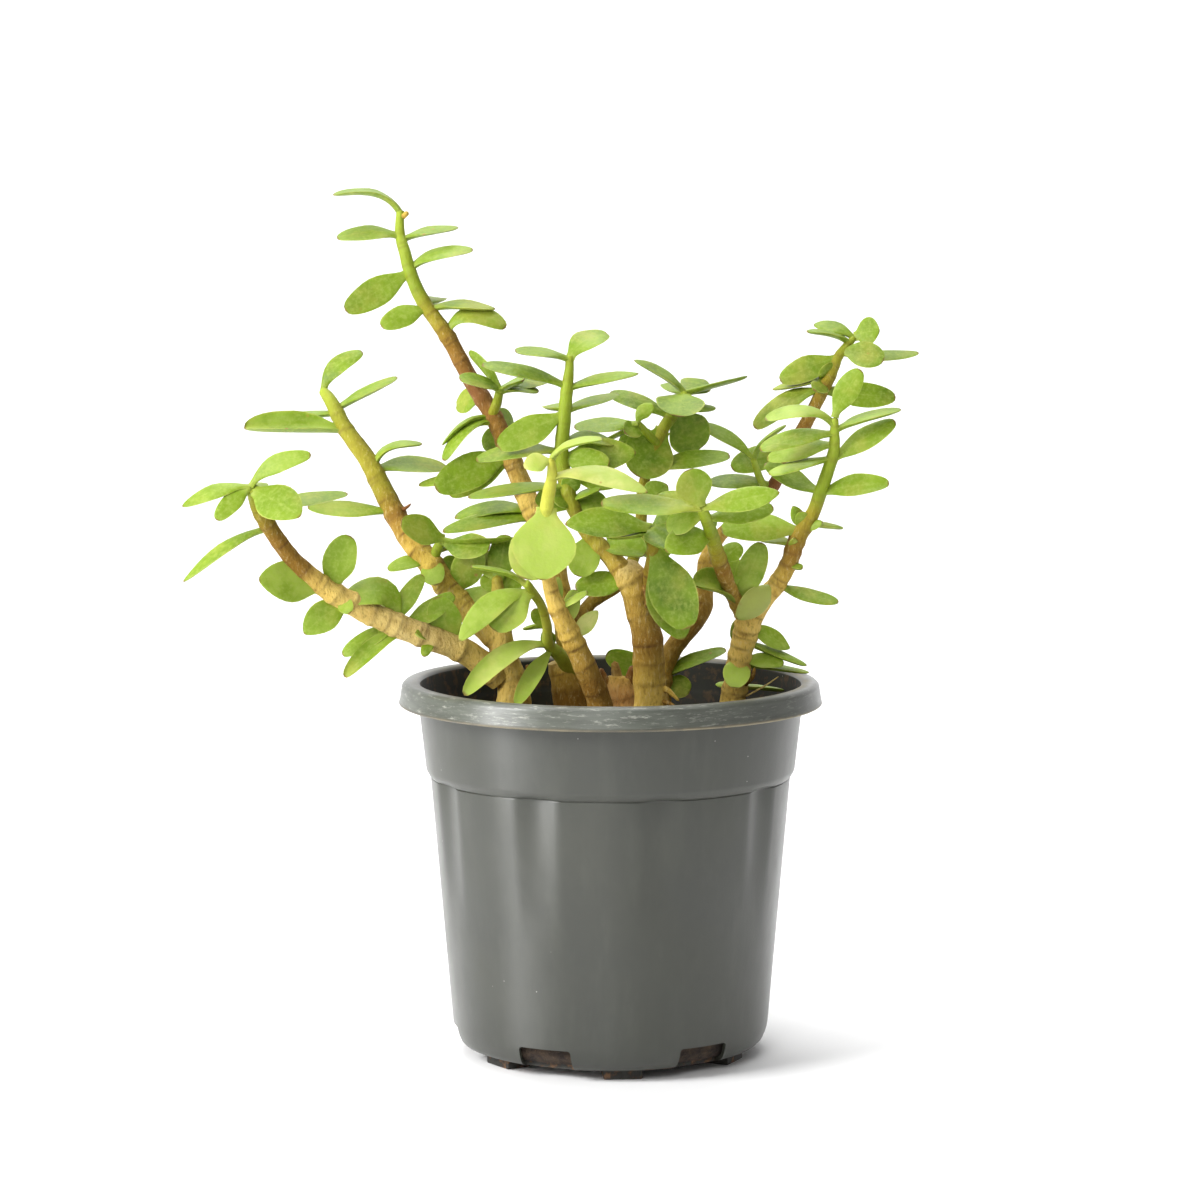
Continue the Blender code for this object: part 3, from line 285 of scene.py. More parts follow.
# Bark colours, and where along each branch's route they lie
BARK = {
    # pale and pink are bark colours brightened past real bark as painted light, making up for the
    # leaves' shade on the lower trunks and the stub
    "pale_and_painted_light": (0.76, 0.54, 0.13),
    "pink_and_painted_light": (0.8, 0.45, 0.16),
    "tan": (0.58, 0.39, 0.07),
    "gold": (0.54, 0.41, 0.065),
    "grey_tan": (0.62, 0.47, 0.17),
    "brown": (0.28, 0.15, 0.02),
    "purple": (0.2, 0.078, 0.02),
    "olive": (0.3, 0.27, 0.018),
    "green": (0.2, 0.275, 0.012),
    "lime": (0.31, 0.4, 0.032),
    "yellow": (0.47, 0.49, 0.06),
}
BARK_STOPS = {
    "left_leafy_stem": {
        "trunk": [(0, "pale_and_painted_light"), (2, "pale_and_painted_light"), (3, "pale_and_painted_light"), (6, "olive")],
        "cut_twig": [(0, "tan"), (1, "grey_tan")],
        "upper_branch": [(0, "pale_and_painted_light"), (1.2, "gold"), (2.6, "tan"), (3.4, "brown"),
                         (4.2, "olive"), (5.5, "olive"), (8, "lime")],
        "upper_shoot": [(0, "green"), (2, "lime")],
        "lower_branch": [(0, "pale_and_painted_light"), (1, "pale_and_painted_light"), (2.5, "grey_tan"), (5, "pale_and_painted_light"),
                         (5.6, "brown"), (6.6, "brown"), (8, "olive"), (9, "lime")],
    },
    "tall_leafy_stem": {
        "cut_trunk": [(0, "brown"), (1.4, "brown"), (2.4, "tan"), (3, "grey_tan")],
        "leader": [(0, "olive"), (3, "tan"), (6, "pale_and_painted_light"), (7.5, "brown"), (8.8, "purple"),
                   (9.8, "brown"), (10.6, "olive"), (11.4, "green"), (15, "lime")],
        "leader_shoot": [(0, "olive"), (2, "green")],
        "rear_branch": [(0, "brown"), (3, "olive"), (6, "olive"), (8, "green"), (9, "lime")],
        "rear_shoot": [(0, "green"), (2, "lime")],
        "trunk_shoot": [(0, "olive"), (1.5, "lime"), (3, "yellow"), (6, "lime")],
    },
    "front_leafy_stem": {
        "trunk": [(0, "brown"), (2, "brown"), (4, "tan"), (6.6, "pale_and_painted_light"), (7.4, "lime"),
                  (8, "yellow"), (11, "yellow")],
    },
    "died_back_stub": {
        "stub": [(0, "pink_and_painted_light"), (1.8, "pink_and_painted_light"), (3, "tan")],
        "tall_knob": [(0, "grey_tan"), (1, "brown")],
        "left_knob": [(0, "brown"), (1, "purple")],
        "right_knob": [(0, "brown"), (1, "purple")],
    },
    "middle_leafy_stem": {
        "trunk": [(0, "pale_and_painted_light"), (2, "tan"), (3, "brown"), (5, "tan"), (7, "grey_tan")],
        "left_branch": [(0, "tan"), (2, "olive"), (5, "green"), (9, "lime")],
        "right_branch": [(0, "brown"), (3, "olive")],
    },
    "back_leafy_stem": {
        "trunk": [(0, "tan"), (4, "brown"), (8, "tan"), (9.6, "purple"), (12, "purple"),
                  (13.2, "brown"), (15, "olive"), (17, "lime")],
        "shoot": [(0, "green"), (2, "lime")],
    },
    "right_leafy_stem": {
        "trunk": [(0, "pale_and_painted_light"), (3, "pale_and_painted_light"), (6, "pale_and_painted_light"), (7.5, "tan"), (8.6, "brown"),
                  (10, "olive"), (11, "green"), (15, "lime")],
        "front_branch": [(0, "tan"), (2, "brown"), (3, "olive"), (4, "green"), (5, "lime")],
    },
}

# The sloping saw cut on the tall stem: a point on it and the way it faces
CUTS = {
    ("tall_leafy_stem", "cut_trunk"): (Vector((-18, 7, 148.2)), Vector((0.53, -0.12, 0.84))),
}

# Dry twig ends, a thorn, a dead scale and a root thread: bark colour and points with radii
TWIGS = {
    "middle_leafy_stem": [
        ("tan", (15, -12, 139.5, 1.5), (20.5, -14, 141, 1.2), (23.5, -15, 139, 0.8),
         (26, -15.5, 136.5, 0.3)),
        ("brown", (17, -14, 137, 1.1), (22, -16, 136, 0.8), (24.5, -17.5, 135, 0.3)),
        ("brown", (12, -18.5, 181, 1.0), (14, -20, 177, 1.5), (13, -19.5, 172.5, 0.5)),
    ],
    "left_leafy_stem": [
        ("purple", (-80, 11, 206.3, 0.9), (-77.2, 10, 208, 0.6), (-75.8, 9.5, 209.4, 0.2)),
        ("brown", (-31.6, -7, 147.2, 2.2), (-30.4, -7.2, 147.6, 2.3)),
    ],
    "tall_leafy_stem": [
        ("tan", (-80.4, 40.4, 317, 1.1), (-78.6, 39.6, 318.6, 1.0), (-77.8, 39.2, 319.4, 0.7)),
    ],
    "right_leafy_stem": [
        ("brown", (50.5, -3, 141, 1.1), (53.6, -5, 144.5, 0.9), (54.6, -6, 148.5, 0.4)),
        ("grey_tan", (51, -2, 136.5, 0.35), (57, -3, 140, 0.35), (61, -3, 142.5, 0.3),
         (64, -2, 144.5, 0.2)),
    ],
}

# Tone of each branch's leaves: -1 is old and deep green, 1 new and yellow, 2 bleached
LEAF_TONES = {
    "upper_branch": 0.1, "upper_shoot": 0.0, "lower_branch": 0.15, "trunk_shoot": 0.3,
    "leader": 0.0, "leader_shoot": -0.1, "rear_branch": -0.2, "rear_shoot": -0.2,
    "left_branch": 0.0, "right_branch": -0.15, "shoot": -0.1, "front_branch": 0.15,
}
# The same for the leaves on each stem's trunk
STEM_LEAF_TONES = {
    "left_leafy_stem": -0.15, "front_leafy_stem": 1.4, "middle_leafy_stem": 0.0,
    "back_leafy_stem": -0.1, "right_leafy_stem": 0.2,
}
# Leaves unlike the rest: by branch and reach, their fold in degrees, change of tone, scars
LEAF_LOOKS = {
    ("upper_branch", -39, -4, 1): (38, 0.2, 1.0),
    ("lower_branch", -24.5, -6, -17): (30, 0.1, 0.3),
    ("right_branch", 7, -10, -7): (30, 0.1, 0.2),
    ("right_branch", 11, 3, 3): (25, 0.0, 0.2),
    ("left_branch", 16.5, -7, -2): (28, 0.2, 0.6),
    ("left_branch", -4, -6, -15): (0, 0.7, 1.0),
    ("front_branch", -18, -20, 11.5): (24, 0.25, 0.3),
    ("trunk", -16, -8, -12.5): (0, 2.0, 0.1),
    ("trunk", -2, -9, -10): (0, 0.3, 0.8),
    ("trunk_shoot", -31.5, -20, -16.5): (14, 0.9, 0.6),
    ("trunk_shoot", -13.5, -19, -19): (10, 0.4, 0.2),
    ("lower_branch", -24, -12, 4.5): (0, 0.5, 0.1),
    ("right_branch", 13, -9, -29.5): (0, -0.3, 1.0),
    ("leader", -24.5, -8, -14.5): (0, 0.2, 0.3),
    ("lower_branch", -32, -2, -20): (0, -0.5, 0.1),
    ("front_branch", 28.5, -3, 6): (0, -0.25, 0.4),
    ("trunk", 25.5, -6, 4): (12, 0.1, 0.2),
}

# Fineness of the stems and leaves
STEM_AROUND = 20
STEM_STEP = 0.9
ROUTE_SAMPLES = 400
LEAF_AROUND = 20
LEAF_ALONG = 16

# Marks on a stem: rings of old bark and nodes where leaves grow, fainter on green wood
RING_SPACING = (6.5, 10.5)
RING_SWELLING = 0.05
RING_DARKNESS = (0.25, 1.0)
NODE_SWELLING = 0.13
NODE_DARKNESS = 0.55
MARK_REACH = 6
SWELLING_SPREAD = 1.5
LINE_OFFSET = 0.9
LINE_SPREAD = 0.38
GREEN_MARKS = 0.35
STEM_WOBBLE = 0.05

# Form of a leaf, and how far one leaf may differ from the next
LEAF_THICKNESS = 2.8
UPPER_BULGE = 0.55
LOWER_BULGE = 1.25
LEAF_SKEW = 1.42
LEAF_WIDEST = 0.614
PETIOLE_WIDTH = 0.33
BLUNT_TIP = 0.4
POINTED_TIP = 0.65
POINTED_SHARE = 0.15
ARCH_PLACE = 0.32
CUPPING = (0.02, 0.16)
WAVINESS = 0.05
RIPPLE = 0.35
LEAF_TWIST = 9.0
TONE_SPREAD = 0.28
UP = Vector((0, 0, 1))
chance = random.Random(11)


def ridge(away, spread):
    """1 at no distance, falling smoothly to nothing about two spreads away."""
    return exp(-(away / spread) ** 2)


def object_from(name, shape):
    """An object in metres from a shape modelled in millimetres."""
    bmesh.ops.scale(shape, vec=(MM, MM, MM), verts=shape.verts)
    mesh = bpy.data.meshes.new(name)
    shape.to_mesh(mesh)
    shape.free()
    made = bpy.data.objects.new(name, mesh)
    bpy.context.scene.collection.objects.link(made)
    return made


def smooth(mesh, angle):
    """Shade a mesh smooth but for its edges sharper than an angle in degrees."""
    mesh.shade_smooth()
    mesh.set_sharp_from_angle(angle=radians(angle))


def piece_from(name, shape, finish, node, smooth_angle=60):
    """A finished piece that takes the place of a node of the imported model."""
    made = object_from(name, shape)
    made.data.materials.append(finish)
    smooth(made.data, smooth_angle)
    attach(made, BODY)
    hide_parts(node)
    return made


# Materials

# Colours of the finishes, apart from the bark's own above
LEAF_PAINT = {
    "old": (0.06, 0.12, 0.003), "green": (0.17, 0.265, 0.011), "new": (0.33, 0.44, 0.062),
    "bleached": (0.62, 0.6, 0.2), "foot": (0.27, 0.33, 0.04), "underside": (0.14, 0.21, 0.01),
    "speckle": (0.35, 0.42, 0.09), "blush": (0.43, 0.38, 0.075), "margin": (0.46, 0.47, 0.1),
    "midrib": (0.38, 0.44, 0.1), "tip": (0.17, 0.08, 0.02), "scar": (0.33, 0.17, 0.045),
}
BARK_PAINT = {
    "weathered": (0.8, 0.7, 0.5), "crack": (0.16, 0.08, 0.012), "fleck": (0.8, 0.64, 0.32),
    "ring": (0.12, 0.052, 0.014),
}
# The mud colours serve both the mud under the base and the painted shade on the inside wall, which
# one more colour darkens further
POT_PAINT = {
    "deep": (0.028, 0.03, 0.023), "grey": (0.04, 0.042, 0.032), "film": (0.085, 0.09, 0.07),
    "lip_film": (0.105, 0.115, 0.092), "dust": (0.3, 0.25, 0.15), "wet_mud": (0.014, 0.011, 0.009),
    "dry_mud": (0.16, 0.08, 0.032), "painted_inside_shade": (0.45, 0.46, 0.3), "scuff": (0.42, 0.42, 0.36),
    "speck": (0.45, 0.44, 0.4),
}
SOIL_PAINT = {
    "dark": (0.022, 0.014, 0.01), "brown": (0.07, 0.045, 0.028), "grain": (0.24, 0.16, 0.09),
}


def finish_called(name, roughness):
    """A new material with its node tree and shader."""
    finish = bpy.data.materials.new(name)
    finish.use_nodes = True
    shader = finish.node_tree.nodes["Principled BSDF"]
    shader.inputs["Roughness"].default_value = roughness
    return finish, finish.node_tree, shader


def feed(tree, socket, value):
    """Set a socket to a number or colour, or wire another socket into it."""
    if isinstance(value, bpy.types.NodeSocket):
        tree.links.new(value, socket)
    else:
        socket.default_value = value


def maths(tree, operation, first, second=0.0, clamp=False):
    """A maths node on two values."""
    node = tree.nodes.new("ShaderNodeMath")
    node.operation = operation
    node.use_clamp = clamp
    feed(tree, node.inputs[0], first)
    feed(tree, node.inputs[1], second)
    return node.outputs[0]


def product(tree, first, second, clamp=False):
    """One value times another."""
    return maths(tree, "MULTIPLY", first, second, clamp)


def total(tree, first, second, clamp=False):
    """One value plus another."""
    return maths(tree, "ADD", first, second, clamp)


def fade(tree, value, low, high, start=0.0, end=1.0):
    """A smooth step from start to end as a value goes from low to high."""
    node = tree.nodes.new("ShaderNodeMapRange")
    node.interpolation_type = "SMOOTHSTEP"
    feed(tree, node.inputs["Value"], value)
    node.inputs["From Min"].default_value = low
    node.inputs["From Max"].default_value = high
    node.inputs["To Min"].default_value = start
    node.inputs["To Max"].default_value = end
    return node.outputs[0]


def tint(tree, factor, first, second, mode="MIX"):
    """Blend two colours."""
    node = tree.nodes.new("ShaderNodeMix")
    node.data_type = "RGBA"
    node.blend_type = mode
    feed(tree, node.inputs[0], factor)
    for socket, value in ((node.inputs[6], first), (node.inputs[7], second)):
        if isinstance(value, tuple):
            value = (*value, 1.0)
        feed(tree, socket, value)
    return node.outputs[2]


def layered(tree, colour, paint, **masks):
    """Lay the named paints over a colour in turn, each as far as its mask says."""
    for name, mask in masks.items():
        colour = tint(tree, mask, colour, paint[name])
    return colour


def places(tree, stretch=(1, 1, 1)):
    """Object coordinates, stretched."""
    coordinates = tree.nodes.new("ShaderNodeTexCoord")
    mapping = tree.nodes.new("ShaderNodeMapping")
    mapping.inputs["Scale"].default_value = stretch
    tree.links.new(coordinates.outputs["Object"], mapping.inputs["Vector"])
    return mapping.outputs[0]


def mottle(tree, where, scale, detail=3.0, roughness=0.55):
    """Noise from 0 to 1 at so many features a metre."""
    node = tree.nodes.new("ShaderNodeTexNoise")
    feed(tree, node.inputs["Vector"], where)
    node.inputs["Scale"].default_value = scale
    node.inputs["Detail"].default_value = detail
    node.inputs["Roughness"].default_value = roughness
    return node.outputs["Fac"]


def cells(tree, where, scale):
    """Distance to scattered points."""
    node = tree.nodes.new("ShaderNodeTexVoronoi")
    feed(tree, node.inputs["Vector"], where)
    node.inputs["Scale"].default_value = scale
    return node.outputs["Distance"]


def told(tree, name, output="Fac"):
    """A value or colour stored on the mesh."""
    node = tree.nodes.new("ShaderNodeAttribute")
    node.attribute_name = name
    return node.outputs[output]


def bumps(tree, shader, height, distance, strength=1.0):
    """Relief from a height in 0 to 1."""
    node = tree.nodes.new("ShaderNodeBump")
    node.inputs["Strength"].default_value = strength
    node.inputs["Distance"].default_value = distance
    tree.links.new(height, node.inputs["Height"])
    tree.links.new(node.outputs[0], shader.inputs["Normal"])


def leaf_finish():
    """Waxy fleshy leaf: darker below with painted shade, paler at the margin, brown at the tip,
    scarred.
    """
    finish, tree, shader = finish_called("jade_leaf", 0.36)
    where = places(tree)
    along, across, upper = (told(tree, name) for name in ("along", "across", "upper"))
    side = maths(tree, "ABSOLUTE", across)
    broad = fade(tree, mottle(tree, where, 85, 2.0), 0.3, 0.7, -TONE_SPREAD, TONE_SPREAD)
    fine = mottle(tree, where, 620, 4.0, 0.65)
    tone = total(tree, told(tree, "tone"), broad)
    deep = tint(tree, fade(tree, tone, -1.0, 0.1), LEAF_PAINT["old"], LEAF_PAINT["green"])
    ragged = fade(tree, mottle(tree, where, 140, 3.0), 0.38, 0.62, 0.12, 0.55)
    margin = product(tree, fade(tree, side, 0.91, 0.985), fade(tree, along, 0.2, 0.45))
    midrib = product(tree, fade(tree, side, 0.09, 0.0), fade(tree, upper, 0.0, 0.5))
    dots = fade(tree, cells(tree, where, 190), 0.17, 0.08)
    dots = product(tree, dots, fade(tree, mottle(tree, where, 60, 2.0), 0.52, 0.62))
    patches = fade(tree, mottle(tree, where, 210, 5.0, 0.7), 0.64, 0.71)
    patches = product(tree, patches, fade(tree, side, 0.3, 0.9))
    scars = maths(tree, "MAXIMUM", dots, patches)
    colour = layered(
        tree, deep, LEAF_PAINT,
        new=fade(tree, tone, 0.0, 1.0),
        bleached=fade(tree, tone, 1.2, 2.2),
        foot=fade(tree, along, 0.3, 0.02, 0.0, 0.7),
        # painted shade: the underside of each blade is darker
        underside=fade(tree, upper, 0.0, -0.35, 0.0, 0.6),
        speckle=fade(tree, fine, 0.4, 0.72, 0.0, 0.42),
        blush=fade(tree, mottle(tree, where, 52, 4.0, 0.6), 0.48, 0.7, 0.0, 0.34),
        margin=product(tree, margin, ragged),
        midrib=product(tree, midrib, 0.13),
        tip=fade(tree, along, 0.972, 0.995, 0.0, 0.8),
        scar=product(tree, scars, told(tree, "scars"), clamp=True),
    )
    tree.links.new(colour, shader.inputs["Base Color"])
    tree.links.new(fade(tree, fine, 0.25, 0.8, 0.36, 0.58), shader.inputs["Roughness"])
    shader.inputs["Subsurface Weight"].default_value = 0.08
    shader.inputs["Subsurface Radius"].default_value = (0.6, 1.0, 0.2)
    shader.inputs["Subsurface Scale"].default_value = 0.002
    shader.inputs["Specular IOR Level"].default_value = 0.2
    pores = mottle(tree, where, 900, 3.0, 0.6)
    dents = mottle(tree, where, 160, 2.0)
    bumps(tree, shader, total(tree, product(tree, pores, 0.3), dents), 0.0007, 0.5)
    return finish


def bark_finish():
    """Woody stem: colour stored along each branch, dark ring lines, wrinkles, flecks."""
    finish, tree, shader = finish_called("jade_bark", 0.62)
    streaks = mottle(tree, places(tree, (1, 1, 0.4)), 800, 5.0, 0.7)
    patches = mottle(tree, places(tree), 150, 3.0)
    woody = told(tree, "woody")
    worn = fade(tree, patches, 0.35, 0.7, 0.0, 0.5)
    base = told(tree, "bark_colour", "Color")
    colour = layered(
        tree, tint(tree, worn, base, BARK_PAINT["weathered"], "MULTIPLY"), BARK_PAINT,
        crack=product(tree, fade(tree, streaks, 0.5, 0.32, 0.0, 0.5), woody),
        fleck=product(tree, fade(tree, streaks, 0.52, 0.7, 0.0, 0.36), woody),
        ring=product(tree, told(tree, "ring"), fade(tree, patches, 0.3, 0.6, 0.4, 0.95)),
    )
    tree.links.new(colour, shader.inputs["Base Color"])
    shader.inputs["Specular IOR Level"].default_value = 0.2
    rough = total(tree, product(tree, woody, 0.3), 0.42)
    tree.links.new(rough, shader.inputs["Roughness"])
    bumps(tree, shader, product(tree, streaks, total(tree, woody, 0.15)), 0.0013, 0.9)
    return finish


def pot_finish():
    """Moulded dark grey plastic with a soft sheen, dust on its ledges, scuffs on its lip, mud under
    it, and painted shade inside it and on the lip's sides.
    """
    finish, tree, shader = finish_called("pot_plastic", 0.4)
    where = places(tree)
    cloud = mottle(tree, where, 22, 4.0, 0.6)
    streak = mottle(tree, places(tree, (1, 1, 9)), 60, 5.0, 0.65)
    upright = mottle(tree, places(tree, (1, 1, 0.25)), 110, 4.0, 0.6)
    scuffs_and_side_shade = told(tree, "scuffs_and_side_shade")
    patchy = fade(tree, mottle(tree, where, 55, 5.0, 0.7), 0.34, 0.62, 0.35, 1.0)
    dusty = product(tree, told(tree, "dust"), patchy, clamp=True)
    colour = layered(
        tree, tint(tree, fade(tree, cloud, 0.3, 0.7), POT_PAINT["deep"], POT_PAINT["grey"]),
        POT_PAINT,
        film=fade(tree, upright, 0.45, 0.75, 0.0, 0.16),
        # the lip's lighter film, fading at its left and right sides as painted shade
        lip_film=product(tree, fade(tree, streak, 0.3, 0.7, 0.35, 0.85), scuffs_and_side_shade),
        dust=dusty,
    )
    clods = mottle(tree, where, 210, 4.0, 0.65)
    # Mud under the base, and painted shade on the inside wall in the same dark mud colours
    stored_mud_and_inside_shade = told(tree, "mud_and_inside_shade")
    mud_and_inside_shade = product(tree, stored_mud_and_inside_shade, fade(tree, clods, 0.42, 0.6, 0.55, 1.0))
    mud_and_shade_colour = tint(tree, fade(tree, clods, 0.5, 0.64), POT_PAINT["wet_mud"], POT_PAINT["dry_mud"])
    colour = tint(tree, mud_and_inside_shade, colour, mud_and_shade_colour)
    # Painted shade: the inside wall is darkened further by a multiplied colour
    painted_inside_shade = product(tree, fade(tree, stored_mud_and_inside_shade, 0.2, 0.7), fade(tree, stored_mud_and_inside_shade, 0.95, 0.8))
    colour = tint(tree, painted_inside_shade, colour, POT_PAINT["painted_inside_shade"], "MULTIPLY")
    scratches = mottle(tree, places(tree, (1, 1, 6)), 170, 6.0, 0.75)
    colour = layered(
        tree, colour, POT_PAINT,
        scuff=product(tree, fade(tree, scratches, 0.53, 0.68, 0.0, 0.55), scuffs_and_side_shade),
        speck=fade(tree, cells(tree, where, 95), 0.03, 0.018, 0.0, 0.5),
    )
    tree.links.new(colour, shader.inputs["Base Color"])
    dull = product(tree, total(tree, dusty, mud_and_inside_shade, clamp=True), 0.5)
    matt = total(tree, dull, product(tree, painted_inside_shade, 0.8))
    sheen = fade(tree, cloud, 0.3, 0.7, 0.35, 0.46)
    tree.links.new(total(tree, sheen, matt, clamp=True), shader.inputs["Roughness"])
    shader.inputs["Specular IOR Level"].default_value = 0.75
    shader.inputs["Anisotropic"].default_value = 0.8
    shader.inputs["Anisotropic Rotation"].default_value = 0.25
    around = tree.nodes.new("ShaderNodeTangent")
    around.direction_type = "RADIAL"
    around.axis = "Z"
    tree.links.new(around.outputs[0], shader.inputs["Tangent"])
    grain = product(tree, mottle(tree, where, 900, 4.0, 0.7), 0.2)
    relief = total(tree, grain, product(tree, streak, total(tree, scuffs_and_side_shade, 0.12)))
    waves = product(tree, mottle(tree, where, 42, 2.0), 2.5)
    bumps(tree, shader, total(tree, relief, waves), 0.0003, 0.5)
    return finish


def soil_finish():
    """Dry crumbly potting soil with paler and darker grains."""
    finish, tree, shader = finish_called("potting_soil", 0.95)
    where = places(tree)
    grains = mottle(tree, where, 900, 5.0, 0.7)
    clods = fade(tree, mottle(tree, where, 190, 3.0), 0.35, 0.65)
    colour = tint(tree, clods, SOIL_PAINT["dark"], SOIL_PAINT["brown"])
    colour = layered(tree, colour, SOIL_PAINT, grain=fade(tree, grains, 0.6, 0.74, 0.0, 0.6))
    tree.links.new(colour, shader.inputs["Base Color"])
    bumps(tree, shader, grains, 0.002, 0.9)
    return finish


# Pot

POT_HEIGHT = 142.8
FLOOR_UNDERSIDE = 3.5
FLOOR_TOP = 5.5
WALL = 1.8
WALL_FOOT = (60.6, 15.5)
WALL_TOP = (68.4, 106.3)
COLLAR_FOOT = (70.1, 109.3)
COLLAR_TOP = (73.6, 140.4)
LIP_OUTER = 79.2
LIP_BEAD = 80.5
LIP_EDGE = 134.0
LIP_WALL = 1.6
MOUTH = 72.3
POT_STEPS = 216
PROFILE_STEP = 9
EASED_SHARE = 0.45
SHARP_CORNER = 35
FLUTES = 9
FLUTE_FIRST = radians(-24.1)
FLUTE_HALF = radians(7.5)
FLUTE_DEPTH = 1.9
FLUTE_START = 52.0
FLUTE_LEDGE = 1.6
NOTCHES = 6
NOTCH_FIRST = radians(-24.5)
NOTCH_WIDTH = 21.0
NOTCH_TOP = 12.0
NOTCH_INNER = 52.5
FOOT_FIRST = radians(5.0)
FOOT_SIZE = (10.0, 14.6)
FOOT_OUTER = 52.0
CENTRE_FOOT = 11.0

# Wear on the pot, and painted shade inside it and on the lip's sides. A pair is the least amount,
# and how much more lies on the dusty side.
LIP_TOP_WIDTH = 2.5
INSIDE_FROM = 30
DUSTY_SIDE = 1.2
DUST_ON_TOP = (0.15, 0.45)
DUST_ON_EDGE = (0.55, 0.45)
DUST_AT_SOIL = 0.8
SOIL_LINE = 124
# Painted shade: the lip's lighter film and scuffs fade this much towards its left and right sides
SHADED_SIDES_TURN = 1.75
SIDE_SHADING = 0.75
MUD = 0.95
# Painted shade: how much the inside wall is darkened, up to just under the lip
INSIDE_SHADE = 0.75
INSIDE_SHADE_TOP = POT_HEIGHT - 1.1


def flute_depth(angle, height):
    """How far the wall is pressed in at this angle and height."""
    pitch = 2 * pi / FLUTES
    offset = (angle - FLUTE_FIRST + pitch / 2) % pitch - pitch / 2
    across = max(0.0, 1 - (offset / FLUTE_HALF) ** 2) ** 1.5
    upward = max(0.0, min(1.0, (height - FLUTE_START) / (WALL_TOP[1] - FLUTE_START)))
    ledge = max(0.0, min(1.0, (WALL_TOP[1] + FLUTE_LEDGE - height) / FLUTE_LEDGE))
    return FLUTE_DEPTH * across * upward * ledge


def on_line(height, low, high):
    """Radius on the straight wall between two (radius, height) points."""
    return low[0] + (high[0] - low[0]) * (height - low[1]) / (high[1] - low[1])


def inside(height):
    """Inner radius of the pot at a height."""
    if height <= WALL_TOP[1]:
        return on_line(height, WALL_FOOT, WALL_TOP) - WALL
    return on_line(height, COLLAR_FOOT, COLLAR_TOP) - WALL


def eased(profile):
    """Round each corner of a profile of (radius, height, rounding) with four points."""
    points = []
    for index, (radius, height, easing) in enumerate(profile):
        here = Vector((radius, height))
        if not easing or index in (0, len(profile) - 1):
            points.append(here)
            continue
        before = Vector(profile[index - 1][:2]) - here
        after = Vector(profile[index + 1][:2]) - here
        start = here + before.normalized() * min(easing, before.length * EASED_SHARE)
        end = here + after.normalized() * min(easing, after.length * EASED_SHARE)
        for share in (0.0, 0.33, 0.67, 1.0):
            points.append(start.lerp(here, share).lerp(here.lerp(end, share), share))
    return points


def turned(points, steps):
    """Spin a profile round the pot's axis and press the flutes in."""
    shape = bmesh.new()
    start = [shape.verts.new((point[0], 0, point[1])) for point in points]
    edges = [shape.edges.new(pair) for pair in zip(start, start[1:])]
    bmesh.ops.spin(shape, geom=start + edges, cent=(0, 0, 0), axis=(0, 0, 1),
                   angle=2 * pi, steps=steps, use_merge=True, use_duplicate=False)
    bmesh.ops.remove_doubles(shape, verts=shape.verts, dist=0.01)
    bmesh.ops.recalc_face_normals(shape, faces=shape.faces)
    for vertex in shape.verts:
        radius = hypot(vertex.co.x, vertex.co.y)
        if radius > FOOT_OUTER:
            angle = atan2(vertex.co.x, -vertex.co.y)
            share = 1 - flute_depth(angle, vertex.co.z) / radius
            vertex.co.x *= share
            vertex.co.y *= share
    return shape


def block(size, place, angle, edge, top_edge=0.0):
    """A box with rounded edges, set at a radius and turned round the axis."""
    shape = bmesh.new()
    bmesh.ops.create_cube(shape, size=1)
    bmesh.ops.scale(shape, vec=size, verts=shape.verts)
    long_edges = [item for item in shape.edges
                  if abs(item.verts[0].co.x - item.verts[1].co.x) > size[0] / 2]
    bmesh.ops.bevel(shape, geom=long_edges, offset=edge, segments=5, profile=0.5,
                    material=-1, affect="EDGES")
    if top_edge:
        bmesh.ops.bevel(shape, geom=shape.edges, offset=top_edge, segments=2,
                        profile=0.5, material=-1, affect="EDGES")
    bmesh.ops.translate(shape, vec=place, verts=shape.verts)
    bmesh.ops.rotate(shape, verts=shape.verts, cent=(0, 0, 0),
                     matrix=Matrix.Rotation(angle - pi / 2, 3, "Z"))
    return object_from("block", shape)


def combine(body, others, operation):
    """Join or cut a piece with some shapes, apply it and remove the shapes."""
    group = bpy.data.collections.new(operation.lower())
    for item in others:
        group.objects.link(item)
    step = body.modifiers.new(operation.title(), "BOOLEAN")
    step.operation = operation
    step.operand_type = "COLLECTION"
    step.collection = group
    step.solver = "MANIFOLD"
    bpy.context.view_layer.update()
    result = body.evaluated_get(bpy.context.evaluated_depsgraph_get())
    mesh = bpy.data.meshes.new_from_object(result)
    body.modifiers.clear()
    body.data = mesh
    for item in others:
        bpy.data.objects.remove(item, do_unlink=True)
    bpy.data.collections.remove(group)


